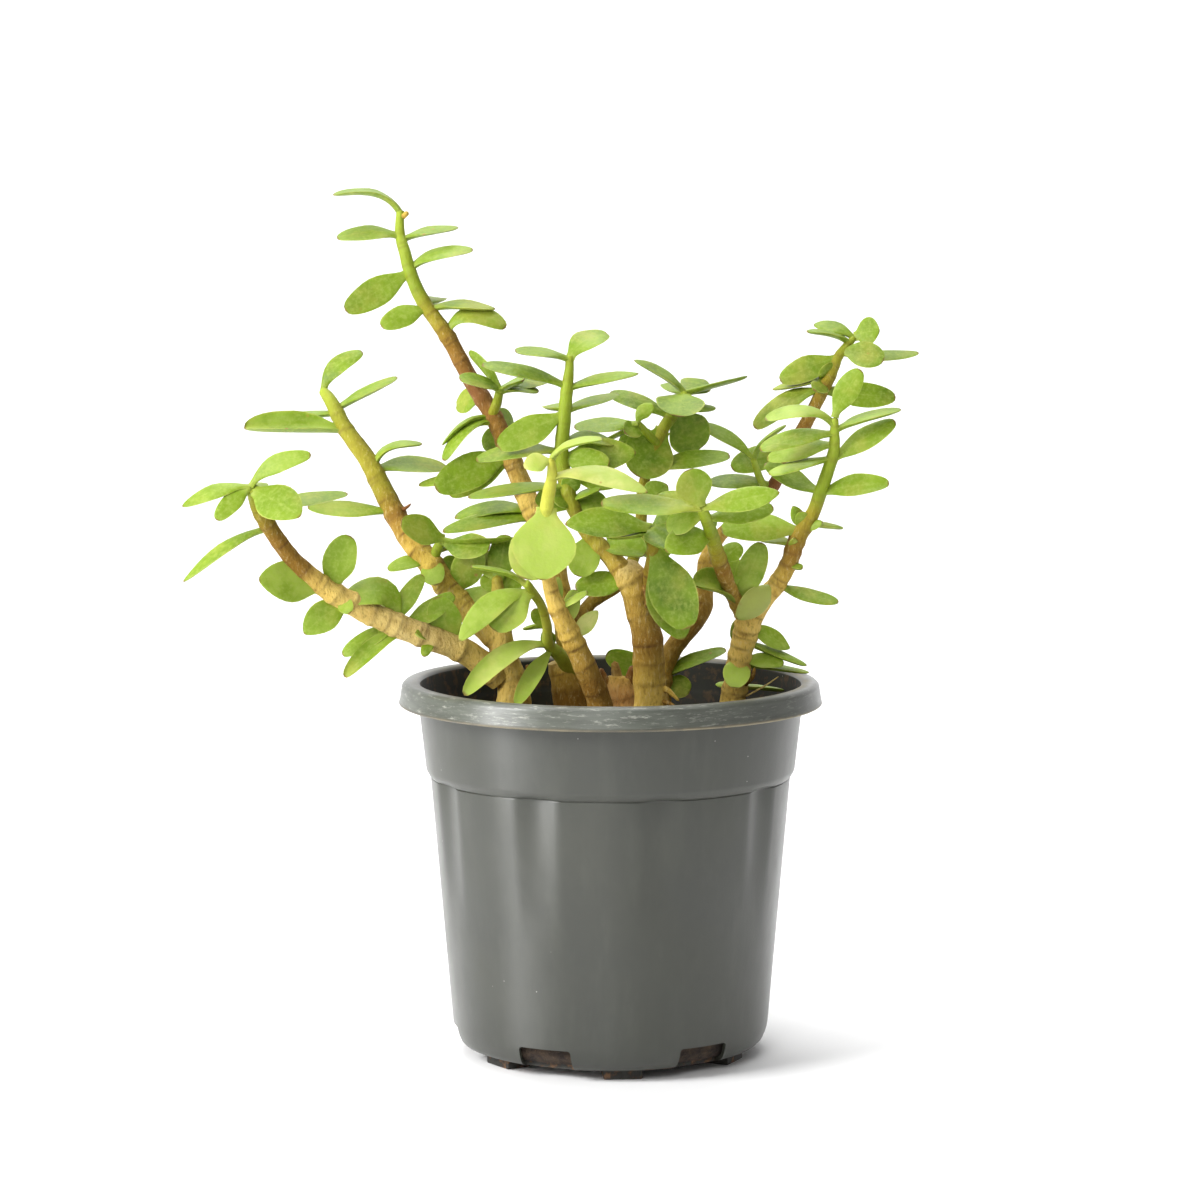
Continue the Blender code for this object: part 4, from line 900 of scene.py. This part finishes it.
def pot_profile():
    """The wall's outline as (radius, height, rounding), from the underside over the lip."""
    lip_inside = LIP_OUTER - LIP_WALL
    outer = [
        (0, FLOOR_UNDERSIDE, 0), (57, FLOOR_UNDERSIDE, 6), (60, 9.5, 3), (*WALL_FOOT, 4),
        (on_line(FLUTE_START, WALL_FOOT, WALL_TOP), FLUTE_START, 0), (*WALL_TOP, 0.2),
        (WALL_TOP[0] - 0.25, WALL_TOP[1] + 0.3, 0), (WALL_TOP[0] + 0.5, WALL_TOP[1] + 0.9, 0.3),
        (*COLLAR_FOOT, 0.9), (72.6, 131.5, 0), (*COLLAR_TOP, 0.8),
    ]
    lip = [
        (lip_inside - 1, COLLAR_TOP[1] + 0.2, 0.8), (lip_inside + 0.9, LIP_EDGE + 1, 0.3),
        (LIP_BEAD - 1.2, LIP_EDGE, 0.5), (LIP_BEAD, LIP_EDGE + 0.6, 0.5),
        (LIP_BEAD - 0.5, LIP_EDGE + 2.4, 0.9), (LIP_OUTER, POT_HEIGHT - 1.2, 0.6),
        (LIP_OUTER - 1.4, POT_HEIGHT, 1.0), (MOUTH + 1, POT_HEIGHT, 0.8),
        (MOUTH, POT_HEIGHT - 1.2, 0.6),
    ]
    inner = [
        (inside(131) + 0.3, 131, 0.5), (inside(129.4), 129.4, 0.4), (inside(109.3), 109.3, 2.0),
        (inside(WALL_TOP[1]), WALL_TOP[1], 1.2), (inside(FLUTE_START), FLUTE_START, 0),
        (inside(9), 9, 3), (56, FLOOR_TOP, 2), (0, FLOOR_TOP, 0),
    ]
    rounded = eased(outer + lip + inner)
    points = []
    for start, end in zip(rounded, rounded[1:]):
        pieces = max(1, round((end - start).length / PROFILE_STEP))
        points += [start.lerp(end, step / pieces) for step in range(pieces)]
    return points + [rounded[-1]]


def pot_feet():
    """A small block under each drain notch, and the low round foot in the middle."""
    height = FLOOR_UNDERSIDE + 1
    place = (FOOT_OUTER - FOOT_SIZE[0] / 2, 0, height / 2)
    feet = [block((*FOOT_SIZE, height), place, FOOT_FIRST + 2 * pi * index / NOTCHES, 0.8, 0.3)
            for index in range(NOTCHES)]
    centre = bmesh.new()
    bmesh.ops.create_cone(centre, cap_ends=True, cap_tris=False, segments=48,
                          radius1=CENTRE_FOOT, radius2=CENTRE_FOOT, depth=height)
    bmesh.ops.translate(centre, vec=(0, 0, height / 2), verts=centre.verts)
    return feet + [object_from("centre_foot", centre)]


def notch_cutters():
    """A block for each drain notch, to be cut from the foot of the wall."""
    reach = WALL_FOOT[0] + 5 - NOTCH_INNER
    size = (reach, NOTCH_WIDTH, NOTCH_TOP + 4)
    place = (NOTCH_INNER + reach / 2, 0, NOTCH_TOP / 2 - 2)
    return [block(size, place, NOTCH_FIRST + 2 * pi * index / NOTCHES, 1.2)
            for index in range(NOTCHES)]


def store_wear(mesh):
    """Store on the pot's points where dust, scuffs, mud and painted shade lie, from 0 to 1: painted
    shade on the inside wall, and on the lip's sides where its scuffs fade.
    """
    dust, scuffs_and_side_shade, mud_and_inside_shade = (mesh.attributes.new(value, "FLOAT", "POINT").data
                           for value in ("dust", "scuffs_and_side_shade", "mud_and_inside_shade"))
    for index, vertex in enumerate(mesh.vertices):
        x, y, z = (value / MM for value in vertex.co)
        radius = hypot(x, y)
        bearing = atan2(y, x)
        dusty = 0.5 + 0.5 * sin(bearing + DUSTY_SIDE)
        outside = radius > LIP_OUTER - LIP_TOP_WIDTH
        inward = vertex.normal.x * x + vertex.normal.y * y < 0
        within = z > INSIDE_FROM and inward and radius < MOUTH + 2
        top, edge = (least + more * dusty for least, more in (DUST_ON_TOP, DUST_ON_EDGE))
        top *= ridge(z - POT_HEIGHT, 0.8) * (not outside)
        edge *= ridge(z - LIP_EDGE - 0.4, 0.6) * outside
        soil_line = DUST_AT_SOIL * ridge(z - SOIL_LINE, 3) * within
        dust[index].value = min(1.0, top + edge + soil_line)
        # Painted shade: the lip's lighter film and scuffs fade towards its left and right sides
        side_shade_factor = 1 - SIDE_SHADING * max(0.0, sin(bearing + SHADED_SIDES_TURN)) ** 2
        scuffs_and_side_shade[index].value = side_shade_factor if outside and z > LIP_EDGE + 1.5 else 0.0
        under = z < FLOOR_TOP + 6 and radius < NOTCH_INNER + 3
        muddy = MUD if under or z < FLOOR_UNDERSIDE - 0.3 else 0.0
        # Painted shade on the inside wall, mud under the base
        mud_and_inside_shade[index].value = INSIDE_SHADE * (z < INSIDE_SHADE_TOP) if within else muddy


def make_pot(finish):
    """The pot at the fineness of the real moulding."""
    shape = turned(pot_profile(), POT_STEPS)
    pot = piece_from("nursery_pot", shape, finish, "pot", SHARP_CORNER)
    combine(pot, pot_feet(), "UNION")
    combine(pot, notch_cutters(), "DIFFERENCE")
    smooth(pot.data, SHARP_CORNER)
    store_wear(pot.data)


# Soil

SOIL_EDGE = 122.5
SOIL_LIFT = 0.3
SOIL_SHRINKAGE = 1.1
SOIL_STEPS = 120
MOUND_HEIGHT = 5.0
MOUND_CENTRE = (-4.0, -4.0)
MOUND_SPREAD = 34.0
CLOD_LENGTH = 11.0
GRAIN_LENGTH = 2.6
GRAIN_HEIGHT = 0.9
CRUMBS = 900
CRUMB_REACH = 67
CRUMB_SIZES = (0.5, 1.2)
CHIP_SIZES = (1.2, 2.3)
CRUMB_SHARE = 0.85
CRUMB_STRETCH = ((0.7, 1.5), (0.7, 1.1), (0.5, 0.9))


def soil_height(x, y):
    """Top of the soil: a low mound with small uneven clods."""
    away = hypot(x - MOUND_CENTRE[0], y - MOUND_CENTRE[1])
    mound = MOUND_HEIGHT * ridge(away, MOUND_SPREAD)
    clods = noise.noise(Vector((x, y, 7.0)) / CLOD_LENGTH)
    return SOIL_EDGE + mound + clods


def make_soil(finish):
    """A rough-topped body of soil, with loose crumbs and chips lying on it."""
    floor = FLOOR_TOP + SOIL_LIFT
    heights = [*range(9, 106, 4), WALL_TOP[1], COLLAR_FOOT[1], 116, SOIL_EDGE]
    wall = [(inside(height) - SOIL_SHRINKAGE, height) for height in heights]
    top = [(radius, SOIL_EDGE) for radius in range(68, 0, -2)]
    rows = [(0, floor), (30, floor), (55, floor)] + wall + top + [(0, SOIL_EDGE)]
    shape = turned([Vector(row) for row in rows], SOIL_STEPS)
    edge = inside(SOIL_EDGE) - 2
    for vertex in shape.verts:
        x, y, z = vertex.co
        radius = hypot(x, y)
        if z > SOIL_EDGE - 0.1 and radius < edge:
            rough = noise.noise(Vector((x, y, 0)) / GRAIN_LENGTH) * GRAIN_HEIGHT
            vertex.co.z = soil_height(x, y) + rough * min(1, (edge - radius) / 4)
        elif radius > 50 and z < SOIL_EDGE - 1:
            share = 1 - 0.5 * abs(noise.noise(vertex.co / 3)) / radius
            vertex.co.x *= share
            vertex.co.y *= share
    piece_from("potting_soil_body", shape, finish, "soil")
    crumbs = bmesh.new()
    for _ in range(CRUMBS):
        angle = chance.uniform(0, 2 * pi)
        radius = CRUMB_REACH * chance.random() ** 0.5
        x, y = radius * cos(angle), radius * sin(angle)
        sizes = CRUMB_SIZES if chance.random() < CRUMB_SHARE else CHIP_SIZES
        size = chance.uniform(*sizes)
        made = bmesh.ops.create_icosphere(crumbs, subdivisions=1, radius=size)
        turn = Matrix.Rotation(chance.uniform(0, pi), 3, (chance.random(), chance.random(), 0.3))
        stretch = Vector([chance.uniform(*span) for span in CRUMB_STRETCH])
        centre = Vector((x, y, soil_height(x, y) + size * 0.25))
        for vertex in made["verts"]:
            jag = 1 + 0.35 * noise.noise(vertex.co * 1.7 + centre)
            vertex.co = centre + turn @ (vertex.co * stretch) * jag
    piece_from("soil_crumbs", crumbs, finish, "soil", smooth_angle=30)


# Stems and leaves

def along(route, place):
    """Point and radius on the smooth curve through a route's points."""
    last = len(route) - 1
    index = min(int(place), last - 1)
    share = place - index
    picks = [route[max(0, min(last, index + step))] for step in (-1, 0, 1, 2)]
    before, start, end, after = [Vector(pick[:3]) for pick in picks]
    point = 0.5 * (2 * start + (end - before) * share
                   + (2 * before - 5 * start + 4 * end - after) * share ** 2
                   + (3 * start - before - 3 * end + after) * share ** 3)
    radius = picks[1][3] + (picks[2][3] - picks[1][3]) * share
    return point, radius


def bark_at(stops, place):
    """Bark colour at a place, and how woody it is."""
    stops = [(stops[0][0] - 1, stops[0][1])] + stops + [(stops[-1][0] + 99, stops[-1][1])]
    for (low, first), (high, second) in zip(stops, stops[1:]):
        if low <= place <= high:
            share = (place - low) / max(high - low, 0.001)
            colour = Vector(BARK[first]).lerp(Vector(BARK[second]), share)
            woods = [0.15 if name in ("green", "lime", "yellow") else
                     0.5 if name in ("olive", "purple") else 1.0 for name in (first, second)]
            return colour, woods[0] + (woods[1] - woods[0]) * share
    return Vector(BARK["tan"]), 1.0


def bark_marks(branch, samples, travelled):
    """Rings and leaf nodes along a branch: how far up, how swollen and how dark."""
    marks = []
    walked = chance.uniform(*RING_SPACING) * 0.6
    while walked < travelled[-1] - 3:
        marks.append((walked, RING_SWELLING, chance.uniform(*RING_DARKNESS)))
        walked += chance.uniform(*RING_SPACING)
    spans = len(branch["route"]) - 1
    for place in sorted({round(row[0] * 2) / 2 for row in branch["leaves"]}):
        nearest = min(range(len(samples)),
                      key=lambda step: abs(spans * step / ROUTE_SAMPLES - place))
        marks.append((travelled[nearest], NODE_SWELLING, NODE_DARKNESS))
    return marks


def stem_rows(route, samples, travelled, count):
    """Even steps along a branch: centre, radius, side, face, place and way travelled."""
    at = 0
    rows = []
    for step in range(count + 1):
        target = travelled[-1] * step / count
        while at < ROUTE_SAMPLES and travelled[at] < target:
            at += 1
        centre, radius = samples[at]
        ahead = samples[min(at + 3, ROUTE_SAMPLES)][0]
        behind = samples[max(at - 3, 0)][0]
        forward = (ahead - behind).normalized()
        side = forward.cross(Vector((0, 1, 0))).normalized()
        place = (len(route) - 1) * at / ROUTE_SAMPLES
        rows.append((centre, radius, side, side.cross(forward), place, target))
    return rows


def saw_off(shape, vertices, point, normal):
    """Cut a branch's end away on a plane and close the cut."""
    edges = dict.fromkeys(edge for vertex in vertices for edge in vertex.link_edges)
    faces = dict.fromkeys(face for vertex in vertices for face in vertex.link_faces)
    sliced = bmesh.ops.bisect_plane(shape, geom=vertices + list(edges) + list(faces),
                                    dist=0.0001, plane_co=point, plane_no=normal,
                                    clear_outer=True)
    open_edges = [item for item in sliced["geom_cut"] if isinstance(item, bmesh.types.BMEdge)]
    bmesh.ops.holes_fill(shape, edges=open_edges, sides=0)


def grow_stem(shape, layers, branch, stops, cut=None):
    """Add a branch: a tube along its route with swollen nodes and ringed old bark."""
    route = branch["route"]
    samples = [along(route, (len(route) - 1) * step / ROUTE_SAMPLES)
               for step in range(ROUTE_SAMPLES + 1)]
    travelled = [0.0]
    for (first, _), (second, _) in zip(samples, samples[1:]):
        travelled.append(travelled[-1] + (second - first).length)
    count = max(6, round(travelled[-1] / STEM_STEP))
    marks = bark_marks(branch, samples, travelled)
    rows = stem_rows(route, samples, travelled, count)
    made = bmesh.ops.create_uvsphere(shape, u_segments=STEM_AROUND, v_segments=count, radius=1)
    seed = chance.uniform(0, 50)
    for vertex in made["verts"]:
        step = round(acos_share(vertex.co.z) * count)
        angle = atan2(vertex.co.y, vertex.co.x)
        centre, radius, side, face, place, walked = rows[step]
        colour, wood = bark_at(stops, place)
        shown = GREEN_MARKS + (1 - GREEN_MARKS) * wood
        swell = 1.0
        ring = 0.0
        for where, size, dark in marks:
            away = walked - where + 0.5 * sin(angle + where)
            if abs(away) < MARK_REACH:
                swell = max(swell, 1 + size * shown * ridge(away, SWELLING_SPREAD))
                ring = max(ring, dark * ridge(away + LINE_OFFSET, LINE_SPREAD))
        wobble = noise.noise(Vector((cos(angle), sin(angle), walked * 0.12 + seed)) * 1.4)
        swell += STEM_WOBBLE * wobble * (0.2 + wood)
        if step in (0, count):
            swell = 0.0
        vertex.co = centre + (side * cos(angle) + face * sin(angle)) * radius * swell
        vertex[layers["bark_colour"]] = (*colour, 1.0)
        vertex[layers["woody"]] = wood
        vertex[layers["ring"]] = ring * shown
    if cut:
        saw_off(shape, made["verts"], *cut)


def acos_share(height):
    """Share of the way from a unit sphere's bottom pole to its top, from a height on it."""
    return 0.5 + atan2(height, max(1e-9, 1 - height * height) ** 0.5) / pi


def blade_share(place, pointed):
    """Width of a spoon-shaped blade at a place from 0, its foot, to 1, its tip."""
    swing = sin(pi * min(1.0, place ** LEAF_SKEW))
    tip = POINTED_TIP if pointed else BLUNT_TIP
    blade = max(0.0, swing) ** (tip if place > LEAF_WIDEST else 0.9)
    petiole = PETIOLE_WIDTH * max(0.0, 1 - place) ** 0.8
    return (blade ** 3 + petiole ** 3) ** (1 / 3)


def grow_leaf(shape, layers, route, row, tone, look):
    """Add one fleshy leaf: flat or cupped above, rounded below, with a blunt margin."""
    place, right, back, up, width, lean, arch = row
    fold, paler, marked = look
    foot = along(route, place)[0]
    reach = Vector((right, back, up))
    line = reach.normalized()
    rise = UP - line * UP.dot(line)
    looks = Vector((0, -sin(radians(lean)), cos(radians(lean))))
    if rise.length < 0.3:
        rise = looks - line * looks.dot(line)
    bend = foot + reach * ARCH_PLACE + rise.normalized() * 2 * arch
    tip = foot + reach
    twist = radians(chance.uniform(-LEAF_TWIST, LEAF_TWIST))
    cup = chance.uniform(*CUPPING)
    seed = chance.uniform(0, 90)
    scars = max(marked, chance.uniform(0.0, 1.0) ** 2)
    pointed = chance.random() < POINTED_SHARE
    slope = tan(radians(fold))
    shade = tone + paler + chance.uniform(-TONE_SPREAD, TONE_SPREAD)
    made = bmesh.ops.create_uvsphere(shape, u_segments=LEAF_AROUND, v_segments=LEAF_ALONG, radius=1)
    for vertex in made["verts"]:
        share = (vertex.co.z + 1) / 2
        angle = atan2(vertex.co.y, vertex.co.x)
        centre = foot * (1 - share) ** 2 + bend * 2 * share * (1 - share) + tip * share ** 2
        forward = ((bend - foot) * (1 - share) + (tip - bend) * share).normalized()
        face = (looks - forward * looks.dot(forward)).normalized()
        side = forward.cross(face)
        turn = Matrix.Rotation(twist * (share - 0.4), 3, forward)
        side, face = turn @ side, turn @ face
        across, depth = cos(angle), sin(angle)
        wave = 1 + WAVINESS * noise.noise(Vector((share * 3, across, seed)))
        half_width = width / 2 * blade_share(share, pointed) * wave
        closing = max(0.0, 1 - share ** 12) ** 0.5
        half_height = LEAF_THICKNESS / 2 * (1 - 0.3 * share) * closing
        bulge = UPPER_BULGE if depth > 0 else LOWER_BULGE
        lift = depth * abs(depth) ** 0.55 * half_height * bulge
        lift += half_width * across * across * (cup + slope * (0.35 + 0.65 * abs(across)))
        ripple = RIPPLE * noise.noise(Vector((share * 4, across * 2, seed + 9)))
        vertex.co = centre + side * half_width * across + face * (lift + ripple * abs(across))
        vertex[layers["along"]] = share
        vertex[layers["across"]] = across
        vertex[layers["upper"]] = depth
        vertex[layers["tone"]] = shade
        vertex[layers["scars"]] = scars


def make_plant(name, plant, bark, leaf):
    """A cutting's stems as one piece and its leaves as another."""
    stems = bmesh.new()
    layers = {"bark_colour": stems.verts.layers.float_color.new("bark_colour")}
    for value in ("woody", "ring"):
        layers[value] = stems.verts.layers.float.new(value)
    for title, branch in plant.items():
        grow_stem(stems, layers, branch, BARK_STOPS[name][title], CUTS.get((name, title)))
    for colour, *route in TWIGS.get(name, []):
        grow_stem(stems, layers, {"route": route, "leaves": []}, [(0, colour)])
    stems.normal_update()
    bmesh.ops.recalc_face_normals(stems, faces=stems.faces)
    piece_from(name + "_bark", stems, bark, name)
    if not any(branch["leaves"] for branch in plant.values()):
        return
    blades = bmesh.new()
    layers = {value: blades.verts.layers.float.new(value)
              for value in ("along", "across", "upper", "tone", "scars")}
    for title, branch in plant.items():
        tone = LEAF_TONES.get(title, STEM_LEAF_TONES.get(name, 0.0))
        for row in branch["leaves"]:
            look = LEAF_LOOKS.get((title, *row[1:4]), (0.0, 0.0, 0.0))
            grow_leaf(blades, layers, branch["route"], row, tone, look)
    blades.normal_update()
    bmesh.ops.recalc_face_normals(blades, faces=blades.faces)
    piece_from(name + "_leaves", blades, leaf, name)


# Studio

SWEEP_HALF_WIDTH = 3000
SWEEP_FRONT = -2500
SWEEP_BEND = 1600
SWEEP_RADIUS = 900
SWEEP_TOP = 3200
AIR_STRENGTH = 0.35

# Each light's place and aim in metres, width and height, and power in watts
LIGHTS = {
    "window_light": ((-1.5, -0.75, 1.15), (0, 0, 0.15), (0.9, 0.9), 44),
    "strip_light": ((-1.32, -0.6, 0.3), (0, 0, 0.12), (0.3, 0.6), 6),
    "front_light": ((-0.3, -1.9, 1.3), (0, 0, 0.15), (0.8, 0.8), 12),
    "top_light": ((-0.2, 0.4, 1.7), (0, 0, 0.1), (1.0, 1.0), 14),
    "wall_light": ((0, 1.2, 2.6), (0, 2.2, 0.4), (2.0, 2.0), 46),
}
CAMERA_PLACE = (-0.004, -1.5, 0.340)
CAMERA_DIP = 6.34
LENS = 119.4
SENSOR = 36


def make_sweep():
    """A pale floor that curves up into a wall."""
    shape = bmesh.new()
    turns = [radians(step) for step in range(15, 91, 15)]
    outline = [(SWEEP_FRONT, 0), (SWEEP_BEND, 0)]
    outline += [(SWEEP_BEND + SWEEP_RADIUS * sin(turn), SWEEP_RADIUS * (1 - cos(turn)))
                for turn in turns]
    outline.append((SWEEP_BEND + SWEEP_RADIUS, SWEEP_TOP))
    row = [shape.verts.new((-SWEEP_HALF_WIDTH, *point)) for point in outline]
    edges = [shape.edges.new(pair) for pair in zip(row, row[1:])]
    made = bmesh.ops.extrude_edge_only(shape, edges=edges)
    moved = [item for item in made["geom"] if isinstance(item, bmesh.types.BMVert)]
    bmesh.ops.translate(shape, vec=(2 * SWEEP_HALF_WIDTH, 0, 0), verts=moved)
    bmesh.ops.recalc_face_normals(shape, faces=shape.faces)
    sweep = object_from("studio_sweep", shape)
    sweep.data.shade_smooth()
    finish, _, shader = finish_called("studio_white", 0.9)
    shader.inputs["Base Color"].default_value = (0.93, 0.93, 0.93, 1.0)
    shader.inputs["Specular IOR Level"].default_value = 0.0
    sweep.data.materials.append(finish)


def make_studio():
    """A pale sweep, soft daylight from the upper left front, and the camera."""
    make_sweep()
    world = bpy.data.worlds.new("studio_air")
    bpy.context.scene.world = world
    world.use_nodes = True
    air = world.node_tree.nodes["Background"]
    air.inputs["Color"].default_value = (1.0, 1.0, 1.0, 1.0)
    air.inputs["Strength"].default_value = AIR_STRENGTH
    for name, (place, aim, size, power) in LIGHTS.items():
        light = bpy.data.lights.new(name, "AREA")
        light.shape = "RECTANGLE"
        light.size, light.size_y = size
        light.energy = power
        lamp = bpy.data.objects.new(name, light)
        lamp.location = place
        lamp.rotation_euler = (Vector(aim) - Vector(place)).to_track_quat("-Z", "Y").to_euler()
        bpy.context.scene.collection.objects.link(lamp)
    camera = bpy.data.cameras.new("camera")
    camera.sensor_width = SENSOR
    camera.lens = LENS
    holder = bpy.data.objects.new("camera", camera)
    holder.location = CAMERA_PLACE
    holder.rotation_euler = (radians(90 - CAMERA_DIP), 0, 0)
    bpy.context.scene.collection.objects.link(holder)
    bpy.context.scene.camera = holder
    bpy.context.scene.view_settings.view_transform = "Standard"


def main():
    """Build the studio and every piece."""
    make_studio()
    make_pot(pot_finish())
    make_soil(soil_finish())
    bark, leaf = bark_finish(), leaf_finish()
    for name, plant in PLANTS.items():
        make_plant(name, plant, bark, leaf)


main()
